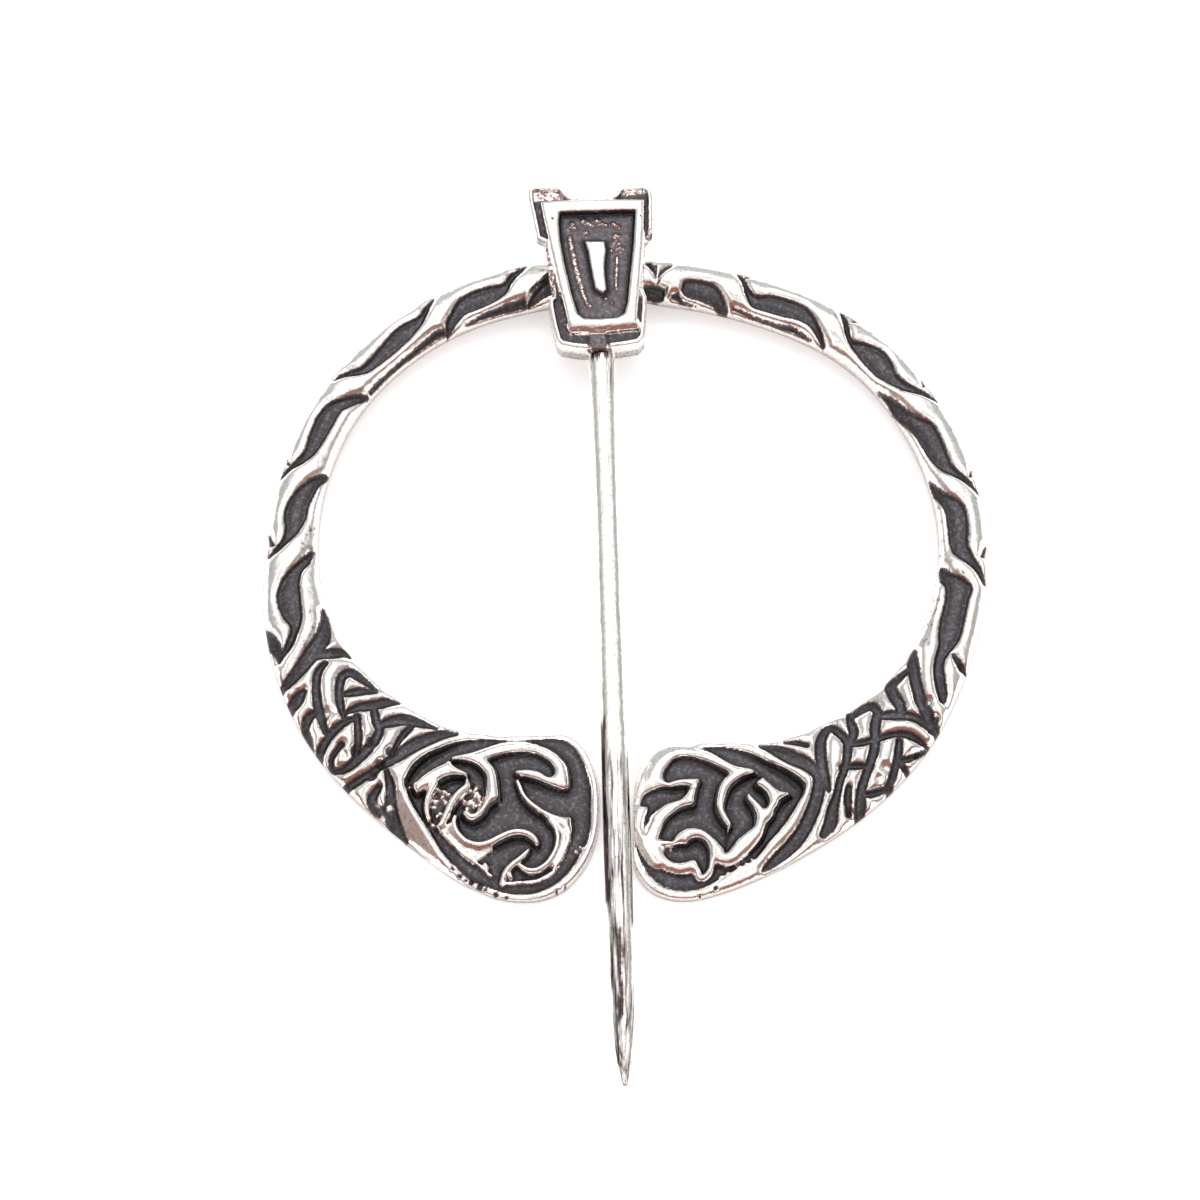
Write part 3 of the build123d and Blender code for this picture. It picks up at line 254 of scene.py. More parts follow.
leftBands = [
    [(-9.85, -12.38), (-9, -12.1), (-8.3, -11.82), (-7.5, -11.48), (-7, -11.33), (-6.5, -11.26), (-6, -11.26),
     (-5.5, -11.33), (-5, -11.48), (-4.5, -11.7), (-4.1, -11.95), (-3.75, -12.3), (-3.5, -12.65),
     (-3.36, -13.1), (-3.3, -13.6), (-3.32, -14.05), (-3.6, -14.17), (-4, -14.08), (-4.5, -13.9),
     (-5, -13.68), (-5.5, -13.53), (-6, -13.42), (-6.28, -13.22), (-5.9, -13.12), (-5.5, -13.1), (-5, -13.2),
     (-4.65, -13.42), (-4.4, -13.52), (-4.15, -13.38), (-4.05, -13.1), (-4.15, -12.8), (-4.35, -12.5),
     (-4.7, -12.22), (-5.1, -12), (-5.5, -11.9), (-6, -11.85), (-6.5, -11.9), (-7, -12), (-7.4, -12.15),
     (-7.88, -12.42), (-7.7, -12.75), (-7.5, -13), (-7.38, -13.4), (-7.3, -13.9), (-7.25, -14.4),
     (-7.25, -14.85), (-7.6, -15.1), (-7.8, -15.35), (-8.05, -15.75), (-8.4, -16.05), (-8.72, -16.13),
     (-9, -15.98), (-9.15, -15.7), (-8.95, -15.62), (-8.7, -15.82), (-8.42, -15.72), (-8.12, -15.35),
     (-7.95, -14.95), (-7.86, -14.5), (-7.86, -14), (-7.92, -13.5), (-8.05, -13.2), (-8.25, -12.95),
     (-8.55, -12.7), (-8.9, -12.52), (-9.3, -12.43)],
    [(-10.02, -12.6), (-10.4, -12.85), (-10.9, -13.15), (-11.4, -13.5), (-11.75, -13.82), (-11.97, -14.05),
     (-11.78, -14.45), (-11.4, -14.25), (-11, -14.08), (-10.6, -13.8), (-10.3, -13.6), (-10, -13.46),
     (-9.6, -13.42), (-9.02, -13.42), (-9.3, -13.22), (-9.6, -13.05), (-9.85, -12.85)],
    [(-9, -13.65), (-8.82, -14.1), (-8.9, -14.35), (-9.25, -14.6), (-9.6, -15.1), (-9.85, -15.6),
     (-10.1, -16.1), (-10.3, -16.45), (-10.6, -16.48), (-10.4, -16.1), (-10.1, -15.4), (-9.8, -14.75),
     (-9.4, -14.3), (-9.12, -14.05)],
    [(-4.95, -15.45), (-4.5, -15.62), (-4, -15.8), (-3.5, -15.88), (-3.22, -15.9), (-3.18, -16.3),
     (-3.25, -16.7), (-3.5, -16.6), (-3.9, -16.35), (-4.2, -16.1), (-4.6, -15.9)],
    [(-5.5, -17.82), (-5.65, -18.15), (-5.98, -18.5), (-6.3, -18.78), (-6.58, -19.1), (-6.8, -19.4),
     (-6.95, -19.85), (-7.02, -19.6), (-6.97, -19.3), (-6.82, -18.93), (-6.5, -18.58), (-6.1, -18.3),
     (-5.8, -18.05)],
]
leftStrokes = [
    [(-10.8, -13.95, .35), (-11.05, -14.5, .3), (-11.22, -15.1, .24), (-11.2, -15.6, .16),
     (-11.08, -16.05, .06)],
    [(-9.62, -15.9, .08), (-9.68, -16.3, .2), (-9.55, -16.75, .27), (-9.3, -17.1, .3), (-8.95, -17.38, .33),
     (-8.5, -17.55, .36), (-8.1, -17.57, .38), (-7.7, -17.45, .36), (-7.3, -17.25, .33), (-6.85, -17.02, .32),
     (-6.4, -16.86, .32), (-6, -16.83, .33), (-5.6, -16.92, .35), (-5.3, -17.1, .33), (-5.1, -17.35, .22),
     (-5.05, -17.5, .1)],
    [(-6.18, -13.78, .08), (-6.05, -14.1, .12), (-5.9, -14.5, .15), (-5.65, -14.9, .17), (-5.3, -15.25, .2),
     (-4.9, -15.55, .25)],
    [(-4.3, -16.1, .3), (-4.02, -16.5, .2), (-3.9, -17, .17), (-3.93, -17.5, .18), (-4.1, -18, .2),
     (-4.4, -18.5, .24), (-4.8, -18.85, .26), (-5.2, -19.02, .27), (-5.6, -18.98, .27), (-5.95, -18.75, .12)],
    [(-8.88, -18.08, .12), (-8.65, -18.28, .16), (-8.45, -18.45, .08)],
    [(-7.92, -18.68, .12), (-7.85, -18.85, .12)],
    [(-6.56, -19.22, .1), (-6.48, -19.38, .1)],
]
# lower ridges, and the slopes that fall away from a crest
leftRidges = [
    [(-3.3, -16.5, .3), (-3.32, -17.1, .16), (-3.5, -17.7, .12), (-3.75, -18.3, .1), (-4.1, -18.9, .06)],
    [(-6.9, -19.75, .05), (-6, -19.7, .07), (-5.1, -19.62, .08), (-4.5, -19.35, .12), (-4.1, -19.05, .06)],
    [(-10.2, -16.9, .08), (-9.2, -17.95, .08), (-8.3, -18.65, .08), (-7.6, -19.3, .06)],
]
leftSlopes = [
    [(-10.6, -16.45), (-9.7, -16.2), (-9.5, -16.9), (-9, -17.45), (-8.3, -17.7), (-7.7, -17.6), (-7.4, -17.8),
     (-7.8, -18.1), (-8.2, -18.3), (-8.6, -18.6), (-9.2, -18.2), (-9.9, -17.5), (-10.4, -16.9)],
    [(-4, -16.3), (-3.3, -16.6), (-3.35, -17.2), (-3.5, -17.8), (-3.9, -18.4), (-4.3, -18.8), (-4.5, -18.6),
     (-4, -18), (-3.85, -17.3)],
]
# The outer arm of the left terminal's shield slopes down to the ring's edge
leftArm = [
    (-12.6, -14.2), (-12.2, -15.1), (-11.5, -16.3), (-10.9, -17.3), (-10.2, -18.2), (-9.5, -19),
    (-8.9, -19.55), (-8.6, -20.4), (-10.5, -19.6), (-12, -18.2), (-13.2, -16.5), (-13.4, -15.2),
    (-13.2, -14.3),
]

# The right terminal's sunken pockets
rightPockets = [
    [(4, -11.62), (4.3, -11.45), (5, -11.4), (5.5, -11.45), (6, -11.55), (6.5, -11.7), (6.9, -11.9),
     (7.3, -12.15), (7.8, -12.45), (8.3, -12.72), (8.8, -13), (9.3, -13.35), (9.75, -13.75), (9.95, -14.1),
     (9.8, -14.6), (9.3, -14.8), (8.97, -14.6), (8.8, -14.55), (8.4, -14.4), (8.1, -14.15), (7.75, -13.8),
     (7.55, -13.62), (7.12, -13.2), (6.7, -13.02), (6.2, -12.9), (5.7, -12.65), (5.2, -12.3), (4.8, -12.02),
     (4.4, -11.82)],
    [(7.12, -13.12), (7, -13.25), (6.7, -13.37), (6.3, -13.6), (5.95, -13.85), (5.7, -14.15), (5.5, -14.6),
     (5.38, -15), (5.34, -15.4), (5.42, -15.7), (5.55, -16), (5.7, -16.4), (5.4, -16.9), (5.3, -17.8),
     (5.45, -18.05), (5.75, -17.75), (6, -17.4), (6.3, -17.1), (6.7, -16.8), (7.05, -16.5), (7.15, -16.1),
     (7.15, -15.85), (7.05, -15.5), (6.9, -15.2), (6.68, -14.9), (6.75, -14.62), (7, -14.93), (7.3, -15.22),
     (7.55, -15.48), (7.8, -15.38), (7.92, -15.1), (7.88, -14.8), (7.75, -14.5), (7.5, -14.2), (7.2, -13.97),
     (7.55, -13.6), (7.5, -13.3)],
    [(1.95, -13.45), (2, -13.1), (2.2, -12.7), (2.5, -12.35), (2.9, -12.15), (3.3, -12.1), (3.8, -12.2),
     (4.3, -12.4), (4.8, -12.65), (5.2, -12.9), (5.55, -13.15), (5.73, -13.35), (5.58, -13.52), (5.38, -13.7),
     (5.2, -14), (5.06, -14.4), (4.98, -14.9), (4.96, -15.3), (5.03, -15.65), (5.2, -16), (5.4, -16.3),
     (5.6, -16.5), (5.6, -17.2), (5.45, -18), (5.3, -17.8), (5.05, -17.5), (4.7, -17.15), (4.4, -16.88),
     (4.1, -16.7), (3.7, -16.6), (3.3, -16.62), (3, -16.75), (2.7, -17), (2.5, -17.35), (2.2, -17.3),
     (1.7, -17.15), (1.75, -16.8), (1.9, -16.4), (2.1, -16), (2.4, -15.7), (2.8, -15.4), (3.2, -15.25),
     (3.65, -15.15), (3.72, -14.8), (3.8, -14.4), (3.9, -14), (3.98, -13.7), (3.5, -13.65), (3, -13.68),
     (2.6, -13.75), (2.3, -13.85), (2.1, -13.75)],
    [(.6, -15), (.7, -14.7), (.9, -14.35), (1.2, -14.2), (1.6, -14.05), (2, -13.97), (2.4, -14.02),
     (2.9, -13.95), (3.2, -13.97), (3.5, -14.08), (3.8, -14.15), (3.5, -14.25), (3.35, -14.5), (3.2, -14.7),
     (2.9, -14.9), (2.5, -15.02), (2.1, -15.12), (1.8, -15.3), (1.5, -15.55), (1.3, -15.8), (1.2, -16.1),
     (1.05, -16.4), (.9, -16.75), (.8, -16.5), (.85, -16), (.95, -15.6), (1.05, -15.25), (.75, -15.15)],
    [(1.8, -17.6), (2.2, -17.5), (2.5, -17.48), (2.9, -17.42), (3.25, -17.42), (3.4, -17.25), (3.6, -17.15),
     (3.85, -17.12), (4.1, -17.2), (4.35, -17.4), (4.5, -17.7), (4.55, -18), (4.55, -18.4), (4.5, -18.8),
     (4.35, -19.1), (4.15, -19.3), (4.05, -19.3), (4, -19.05), (3.9, -18.8), (3.75, -18.5), (3.6, -18.42),
     (3.3, -18.5), (2.9, -18.57), (2.5, -18.5), (2.15, -18.3), (1.95, -18.05), (1.85, -17.8)],
    [(9.95, -14.1), (9.85, -14.6), (9.6, -15), (9.4, -15.35), (9.1, -15.85), (8.8, -16.3), (8.3, -16.9),
     (7.9, -17.35), (7.5, -17.9), (7.1, -18.35), (6.6, -18.65), (6.1, -18.9), (5.6, -19.2), (5.1, -19.5),
     (4.5, -19.85), (4, -20.08), (3.5, -20.2), (3, -20.22), (2.5, -20.15), (2, -19.97), (1.6, -19.72),
     (1.3, -19.42), (1.1, -19.2), (.8, -18.75), (.52, -18.15), (.35, -17.5), (.33, -16.8), (.44, -16.8),
     (.52, -17.2), (.7, -17.7), (.92, -18.1), (1.2, -18.5), (1.5, -18.75), (1.8, -18.75), (2.1, -18.88),
     (2.4, -19), (2.8, -19.12), (3.2, -19.1), (3.5, -19.04), (3.7, -19.18), (3.85, -19.45), (4.15, -19.52),
     (4.5, -19.3), (4.7, -18.95), (4.8, -18.5), (5.1, -18.62), (5.5, -18.68), (5.9, -18.55), (6.2, -18.35),
     (6.6, -18), (7, -17.6), (7.4, -17.1), (7.6, -16.6), (7.7, -16.3), (7.9, -16.1), (8.1, -15.8),
     (8.15, -15.5), (8.35, -15.25), (8.45, -15), (8.7, -14.8), (8.97, -14.6), (9.3, -14.4)],
]

# casting beads, pits and dips of the terminals: place and radius
castBeads = [
    (-8.75, -14, .36), (-8.5, -14.4, .4), (-8.82, -14.86, .34), (-8.27, -14.6, .3), (-8.48, -15.16, .3),
    (-9.15, -14.85, .26), (-9, -15.3, .24), (-8.2, -15, .2), (-10.72, -14.86, .26), (-10.48, -15.58, .2),
    (-10.29, -14.25, .2), (-10.04, -15.22, .2), (-10.86, -16.29, .22), (-12.55, -13.53, .22),
    (-12.2, -14.01, .18), (-7.14, -14.98, .2), (-7.94, -17.54, .18), (-8.09, -18.19, .24),
    (-7.81, -18.78, .2), (-2.66, -17.6, .2), (-2.21, -19.14, .2), (-13.6, -14.4, .26), (-13.9, -15, .28),
    (-13.3, -15.3, .24), (-13.7, -15.8, .2), (1.9, -17.13, .22), (2.23, -17.42, .24), (2, -17.72, .2),
    (2.39, -17.78, .18), (5.2, -19.37, .3), (-10.95, -14.56, .3), (-10.62, -14.2, .26), (-10.39, -14.62, .24),
    (-10.16, -14.9, .24), (-10.82, -15.22, .22), (-10.64, -15.76, .2), (-9.83, -14.8, .2), (-10, -14.44, .22),
    (-12.48, -13.83, .2), (-2.88, -17.84, .2), (5.53, -19.14, .24), (5.75, -19.55, .26), (6.2, -18.78, .3),
    (6.54, -18.55, .24), (6.88, -18.31, .24), (6.08, -19.25, .24), (5.35, -19.84, .24), (4.63, -20.07, .18),
    (7.14, -18.78, .2), (7.88, -17.96, .16),
]
castPits = [
    (-9.3, -19.25, .18), (-8.95, -19.5, .12), (-8.7, -19.62, .2), (-8.2, -19.9, .24), (-7.9, -20.02, .14),
    (-7.3, -20.33, .2), (-6.7, -20.5, .13), (-9.7, -18.85, .15), (-3.95, -20.2, .14), (-3.5, -19.95, .12),
    (3.96, -20.42, .14), (4.84, -20.01, .16), (-1.6, -18.9, .12),
]
tarnishSpots = [  # where the polish missed the strands: place and radius
    (-18.1, -3.6, .6), (-18.2, -4.6, .7), (-18.4, -5.6, .65), (-18.7, -6.5, .5), (-18.7, .8, .5),
    (-18.3, 1.8, .5), (18, 3.4, .5), (18.1, 2.5, .5), (18.1, 1.4, .55), (18.2, .5, .55), (18.6, -.3, .5),
    (19.2, -1, .45), (17.8, -2.5, .45), (17.6, -3.4, .5), (17.3, -4.3, .5), (17.1, -5.3, .45),
    (17.7, 4.2, .4), (19.5, 8.1, .4), (-19.3, 11.1, .4), (-16.8, 14.9, .45), (-15.2, 16.4, .45),
    (14, 14.9, .45), (16.5, 11.1, .45),
]
strandDips = [
    (-16.85, -9.74, .5), (-15.37, -11.94, .45), (-14.6, -11.45, .35), (-13.34, -12.06, .45),
    (-13.88, -12.79, .35), (-15.86, -12.18, .3), (-18.43, -11.15, .35), (17.12, -9, .4), (17.47, -9.92, .35),
    (14.42, -12.97, .45), (14.06, -13.57, .4), (16.25, -12, .25), (12.47, -15.67, .4), (12.33, -16.57, .35),
    (13.83, -15.08, .3), (-14.3, -13.57, .35),
]


def smoothRun(rows, steps=6):  # a smooth curve through the rows
    rows = np.array(rows, float)
    around = np.vstack([2 * rows[0] - rows[1], rows, 2 * rows[-1] - rows[-2]])
    t = (np.arange(steps) / steps)[:, None]
    spans = [rows[:0]]
    for a, b, c, d in zip(around, around[1:], around[2:], around[3:]):
        spans.append(b + t / 2 * (c - a + t * (2 * a - 5 * b + 4 * c - d + t * (3 * b - a - 3 * c + d))))
    return np.vstack(spans + [rows[-1:]])


def smoothLoop(rows, steps=3):
    return smoothRun(rows + rows[:1], steps)[:-1]


sectionRun = smoothRun(sections, 8)


def bandAt(places):  # inner and outer radius, side wall, crown
    angles = np.degrees(np.arctan2(places[:, 1], places[:, 0]))
    angles = np.where(angles < ring["seamAngle"], angles + 360, angles)
    outer, growth, rise = (np.interp(angles, sectionRun[:, 0], sectionRun[:, i]) for i in (1, 2, 3))
    grown = [ring["hoop" + part] + growth * (ring["terminal" + part] - ring["hoop" + part])
             for part in ("Width", "Wall", "Thickness")]
    return outer - grown[0], outer, grown[1], grown[2] * rise


def hoopMiddle():  # where the pin's collar wraps the hoop
    turn = radians(ring["headAngle"])
    inner, outer = (edge[0] for edge in bandAt(np.array([[cos(turn), sin(turn)]]))[:2])
    return (inner + outer) / 2 * cos(turn), (inner + outer) / 2 * sin(turn)


def pairsOf(run):
    return zip(run, run[1:])


def clamped(share):
    return np.clip(share, 0, 1)


def easeIn(share):
    share = clamped(share)
    return share * share * (3 - 2 * share)


def lineDistance(run, places):  # distance to an open run of points, less half of its width where it has one
    nearest = np.full(len(places), farAway)
    for start, end in pairsOf(run):
        span = end[:2] - start[:2]
        along = clamped((places - start[:2]) @ span / max(span @ span, 1e-9))
        away = places - start[:2] - along[:, None] * span
        width = start[2] + along * (end[2] - start[2]) if len(start) > 2 else 0
        nearest = np.minimum(nearest, np.hypot(away[:, 0], away[:, 1]) - width / 2)
    return nearest


def areaDistance(outline, places):  # distance to a closed outline, negative inside it
    closed = np.vstack([outline, outline[:1]])
    inside = np.zeros(len(places), bool)
    x, y = places[:, 0], places[:, 1]
    for (ax, ay), (bx, by) in pairsOf(closed):
        if ay != by:
            inside ^= ((ay > y) != (by > y)) & (x < ax + (bx - ax) * (y - ay) / (by - ay))
    return np.where(inside, -1, 1) * lineDistance(closed, places)


def nearestOf(shapes, measure, places, reach=1.0):  # measured only within reach of each shape
    nearest = np.full(len(places), farAway)
    for shape in shapes:
        low, high = shape[:, :2].min(axis=0) - reach, shape[:, :2].max(axis=0) + reach
        close = np.all((places > low) & (places < high), axis=1)
        nearest[close] = np.minimum(nearest[close], measure(shape, places[close]))
    return nearest


def beads(rows, places):  # one in the middle of a bead, none outside
    share = [1 - np.hypot(places[:, 0] - x, places[:, 1] - y) / radius for x, y, radius in rows]
    return clamped(np.max(share, axis=0))


def wornEdge(piece, away):  # how far a polished edge falls at this distance from it
    return piece["edgeDrop"] * (1 - clamped(away / piece["edgeRound"])) ** 2


def sunkTo(floor, worn, sunk):  # a carved floor, never above the worn face
    return worn + sunk * np.minimum(floor - worn, 0)


def pocketOutline(rows):
    run = smoothRun(rows)
    turns = np.radians(run[:, 0])
    heading = np.stack([np.cos(turns), np.sin(turns)], axis=1)
    inner, outer = bandAt(heading)[:2]
    low, high = ((inner + run[:, i] * (outer - inner))[:, None] * heading for i in (1, 2))
    return np.vstack([low, high[::-1]])


def gapOutline():  # the gap between the terminals, open below
    hoopX, hoopY = hoopMiddle()
    drop = hoopY - ring["gapLine"]
    middle = hoopX + drop * sin(radians(ring["headAngle"]) - pi / 2 - radians(ring["shaftTurn"]))
    left = smoothRun([(middle - ring["gapHalf"] - away, y) for away, y in leftEnd])
    right = smoothRun([(middle + ring["gapHalf"] + away, y) for away, y in rightEnd])
    below = np.array([[left[-1][0], ring["gapFoot"]], [right[-1][0], ring["gapFoot"]]])
    return np.vstack([left, below, right[::-1]])


gapShape = gapOutline()
pocketShapes = [pocketOutline(rows) for rows in hoopPockets]
channelShapes = [smoothRun(rows) for rows in leftChannels + rightChannels]
fieldShapes = [smoothLoop(rows) for rows in [leftField] + rightPockets]
bandShapes = [smoothLoop(rows) for rows in leftBands]
strokeShapes = [smoothRun(rows) for rows in leftStrokes]
ridgeShapes = [smoothRun(rows) for rows in leftRidges]
slopeShapes = [np.array(rows, float) for rows in leftSlopes]
armShape = np.array(leftArm, float)


def outlineDistance(places):  # how far a place is inside the ring's outline
    inner, outer = bandAt(places)[:2]
    radius = np.hypot(places[:, 0], places[:, 1])
    gap = nearestOf([gapShape], areaDistance, places, reach=3)
    return np.minimum(np.minimum(radius - inner, outer - radius), gap)


def outlineHeading(places, step=0.01):
    slopes = [outlineDistance(places + shift) - outlineDistance(places - shift)
              for shift in (np.array([step, 0]), np.array([0, step]))]
    heading = np.stack(slopes, axis=1)
    return heading / np.maximum(np.linalg.norm(heading, axis=1), 1e-9)[:, None]


def domedFace(places):  # the crown's arc from wall to wall, with the dips in the strands
    inner, outer, wall, crown = bandAt(places)
    half = (outer - inner) / 2
    sag = np.maximum(crown - wall, 0.01)
    bend = (half ** 2 + sag ** 2) / (2 * sag)
    off = np.clip(np.hypot(places[:, 0], places[:, 1]) - (inner + outer) / 2, -half, half)
    top = wall + np.sqrt(bend ** 2 - off ** 2) - (bend - sag)
    return top - ring["dipDepth"] * beads(strandDips, places)


def knotwork(places, top):  # the twist's pockets and the channels between the strands
    height, depth = top.copy(), np.zeros(len(places))
    for shapes, measure, cut, spread in (
            (pocketShapes, areaDistance, ring["pocketCut"], 0),
            (channelShapes, lineDistance, ring["channelCut"], ring["channelSpread"])):
        away = nearestOf(shapes, measure, places) - spread
        floor = top - cut + ring["floorRise"] * np.clip(-away, 0, ring["pocketRise"])
        sunk = easeIn(-away / ring["wallRun"])
        height = np.minimum(height, sunkTo(floor, top - wornEdge(ring, away), sunk))
        # floors are painted lighter away from their walls: painted shade next to the walls
        paintedLight = ring["paintedFloorLight"] * clamped(-away / ring["paintedPocketLightRun"])
        depth = np.maximum(depth, easeIn((ring["oxideReach"] - away) / ring["wallRun"]) * (1 - paintedLight))
    return height, depth


def carvedFields(places, top, bead):  # the terminals' sunk fields and what stands up in them
    field = nearestOf(fieldShapes, areaDistance, places, reach=3)
    stroke = nearestOf(strokeShapes, lineDistance, places)
    band = np.minimum(nearestOf(bandShapes, areaDistance, places), stroke)
    ridge = nearestOf(ridgeShapes, lineDistance, places)
    onSlope = nearestOf(slopeShapes, areaDistance, places) < 0
    fall = band / np.where(onSlope, ring["slopeRun"], ring["wallRun"])
    rise = np.where(band < 0, 1, 1 - np.where(onSlope, clamped(fall), easeIn(fall)))
    sunk = easeIn(-field / ring["wallRun"]) * (1 - rise)

    inArm = easeIn(-areaDistance(armShape, places) / ring["armRun"])
    top = top - inArm * ring["armSlope"] * clamped(field - ring["armStart"])
    worn = top - wornEdge(ring, np.where(field < 0, -band, field))
    clear = np.clip(np.minimum(-field, np.maximum(band, 0)), 0, ring["fieldRise"])
    floor = ring["terminalGround"] + ring["floorRise"] * clear
    floor += ring["ridgeHeight"] * (1 - clamped(ridge / ring["ridgeRun"])) ** 2 + ring["beadHeight"] * bead

    onRidge = ring["ridgeShine"] * clamped(1 - ridge / ring["ridgeShineRun"])
    deep = clamped((sunk - ring["oxideStart"]) / ring["oxideRun"]) * (1 - onRidge)
    # the field is painted lighter away from its walls and bands: painted shade next to them
    paintedLight = ring["paintedFloorLight"] * clamped((clear - ring["paintedFieldLightStart"]) / ring["paintedFieldLightRun"])
    return sunkTo(floor, worn, sunk), deep * (1 - paintedLight)


def ringSurface(places):  # height of the cast face, and how deep the oxide and the painted shade lie
    top = domedFace(places)
    bead, pit = beads(castBeads, places), beads(castPits, places)
    edge = outlineDistance(places)
    height, depth = knotwork(places, top)
    fieldHeight, fieldDepth = carvedFields(places, top, bead)
    depth = np.maximum(depth, fieldDepth)
    depth = np.maximum(depth * (1 - ring["beadShine"] * np.sqrt(bead)), pit)
    spots = clamped(ring["tarnishGain"] * beads(tarnishSpots, places))
    corner = easeIn(2 * beads([ring["bevelSpot"]], places))
    height = np.minimum(height, fieldHeight) - ring["pitDepth"] * pit
    height -= ring["bevelDrop"] * corner * (1 - clamped(edge / ring["bevelRun"]))
    height -= wornEdge(ring, edge)
    return height, np.maximum(depth, ring["tarnish"] * spots)


def ringPlace():  # the ring leans on its terminals, lifted at the head by the strap behind it
    hoopX, hoopY = hoopMiddle()
    rest, core = ring["restLine"], ring["hoopThickness"] / 2
    lever = hypot(hoopY - rest, core)
    lean = asin(ring["axisHeight"] / lever) - asin(core / lever)
    headY = rest + (hoopY - rest) * cos(lean) - core * sin(lean)
    shift = hingePlace() - Vector((hoopX, headY, ring["axisHeight"]))
    leaning = Matrix.Rotation(lean, 4, "X")
    return Matrix.Translation(shift + Vector((0, rest, 0))) @ leaning @ Matrix.Translation((0, -rest, 0))


def only(geometry, kind):
    return [part for part in geometry if isinstance(part, kind)]


def placesOf(verts):
    return np.array([v.co[:2] for v in verts])


def gridWithin(bm, piece, inside):  # a flat grid, cut off just past the piece's outline
    count = round(2 * piece["gridHalf"] / piece["cell"])
    bmesh.ops.create_grid(bm, x_segments=count, y_segments=count, size=piece["gridHalf"])
    outside = [v for v, edge in zip(bm.verts, inside(placesOf(bm.verts))) if edge < -piece["cell"] / 2]
    bmesh.ops.delete(bm, geom=outside, context="VERTS")
    return [v for v in bm.verts if v.is_boundary]


def setSurface(verts, oxideAndShade, heights, depths):
    for v, height, depth in zip(verts, heights, depths):
        v.co.z = height
        v[oxideAndShade] = depth


def makeRing():
    bm = bmesh.new()
    dullAndShaded, oxideAndShade = [bm.verts.layers.float.new(name) for name in ("dullAndShaded", "oxideAndShade")]
    rim = gridWithin(bm, ring, outlineDistance)
    print("ring grid:", len(bm.verts))
    for _ in range(3):  # the grid's ragged border moves onto the outline
        places = placesOf(rim)
        places -= outlineDistance(places)[:, None] * outlineHeading(places)
        for v, place in zip(rim, places):
            v.co[:2] = place
    setSurface(bm.verts, oxideAndShade, *ringSurface(placesOf(bm.verts)))
    # the rim's edge is dull: a rougher gloss, and a painted grey line of shade along the outline
    for v in rim:
        v[dullAndShaded] = ring["rimDullShade"]

    border = [e for e in bm.edges if e.is_boundary]
    # the walls are dull: rougher, and tinted with a painted reflection of the shaded floor
    for level, inset in ((ring["backChamfer"], 0), (0, ring["backChamfer"])):
        made = bmesh.ops.extrude_edge_only(bm, edges=border)["geom"]
        border = [e for e in only(made, BMEdge) if e.is_boundary]
        foot = only(made, BMVert)
        places = placesOf(foot)
        places += inset * outlineHeading(places)
        for v, place in zip(foot, places):
            v.co = (place[0], place[1], level)
            v[dullAndShaded] = ring["backDullShade"]
    bmesh.ops.contextual_create(bm, geom=border)
    return castPiece("castRing", bm, ringPlace())


castRing = makeRing()
print("ring done:", len(castRing.data.polygons))


# The pin's head: a sunk plate in a rim, carried by four lugs over the collar. Sizes in mm from the hinge.
head = {
    "face": 4.24, "underside": 3.38, "turn": 4.8, "cell": 0.055, "gridHalf": 6.6,
    "wallRun": 0.13, "edgeRound": 0.22, "edgeDrop": 0.11,
    # the plate: rim, sunk field, bar and the apron below it
    "fieldDepth": 0.5, "floorRise": 0.1, "floorRiseRun": 0.5, "ridgeHeight": 0.1, "ridgeRun": 0.17,
    "barHeight": 0.44, "bitHeight": 0.15, "pitDepth": 0.2,
    "apronTop": -4.2, "apronEase": 0.25, "apronRun": 0.2, "apronDrop": 0.24,
    # the lugs with their groove, the mound over the shaft and the waist
    "lugDrop": 0.32, "lugEdge": 0.2, "lugDepth": 1.5, "grooveDrop": 0.66, "webDepth": 1.47,
    "hornDepth": 0.62, "hornFoot": 4.6, "hornRun": 0.3, "thinFoot": 0.5, "thinRun": 0.5,
    "moundHeight": 0.16, "moundRun": 0.35, "moundEdge": 0.2,
    "waistFoot": -2.35, "waistFootRun": 0.3, "waistTop": 1.75, "waistTilt": 0.1, "waistTopRun": 0.2,
    "waistDrop": 0.2, "waistSlope": 1.3, "waistWall": 0.04,
    # where the oxide lies, where the polish took it off again, and the painted shade next to the field's
    # walls
    "fieldOxide": 0.3, "clearStart": 0.1, "clearRun": 0.25, "paintedClearLight": 0.4, "barShine": 0.95,
    "ridgeShine": 0.42, "bitShine": 0.5, "outerOxide": 0.06, "grooveOxide": 0.75, "hornShine": 0.42,
    # the walls are dull: rougher, and tinted with a painted reflection of the shaded floor
    "moundOxide": 0.9, "moundShine": 0.2, "waistOxide": 0.34, "wallOxide": 0.2, "wallDullShade": 0.9,
    # the collar behind the plate
    "collarWidth": 3.8, "channelHalf": 1.4914, "cheek": 0.8, "cheekRise": 0.3, "cheekBevel": 0.12,
    "strap": 0.4, "strapBevel": 0.15, "backOxide": 0.3,
}
plateOutline = [
    (-3.16, 4.37), (-2.01, 4.38), (.41, 4.25), (3.04, 4.02), (2.8, 1.76), (2.37, -1.08), (2.04, -3.17),
    (1.8, -4.68), (-.36, -4.74), (-2.02, -4.6), (-2.2, -4.1), (-2.49, -1.74), (-2.77, .78), (-3.03, 2.97),
]
fieldOutline = [
    (-2.1, 3.6), (2.5, 3.36), (2.2, 1.11), (1.83, -1.01), (1.47, -3.1), (1.2, -3.95), (.75, -4.2),
    (-.3, -4.22), (-1.24, -4.11), (-1.6, -3.75), (-1.87, -2.26), (-2.12, -.1), (-2.24, 1.49), (-2.22, 2.79),
]
barOutline = [
    (-.77, 1.38), (.47, 1.27), (.49, .55), (.33, -.3), (.28, -1.22), (.3, -2.2), (.03, -2.44), (-.25, -2.2),
    (-.42, -2.01), (-.52, -1.15), (-.59, -.22), (-.64, .65),
]
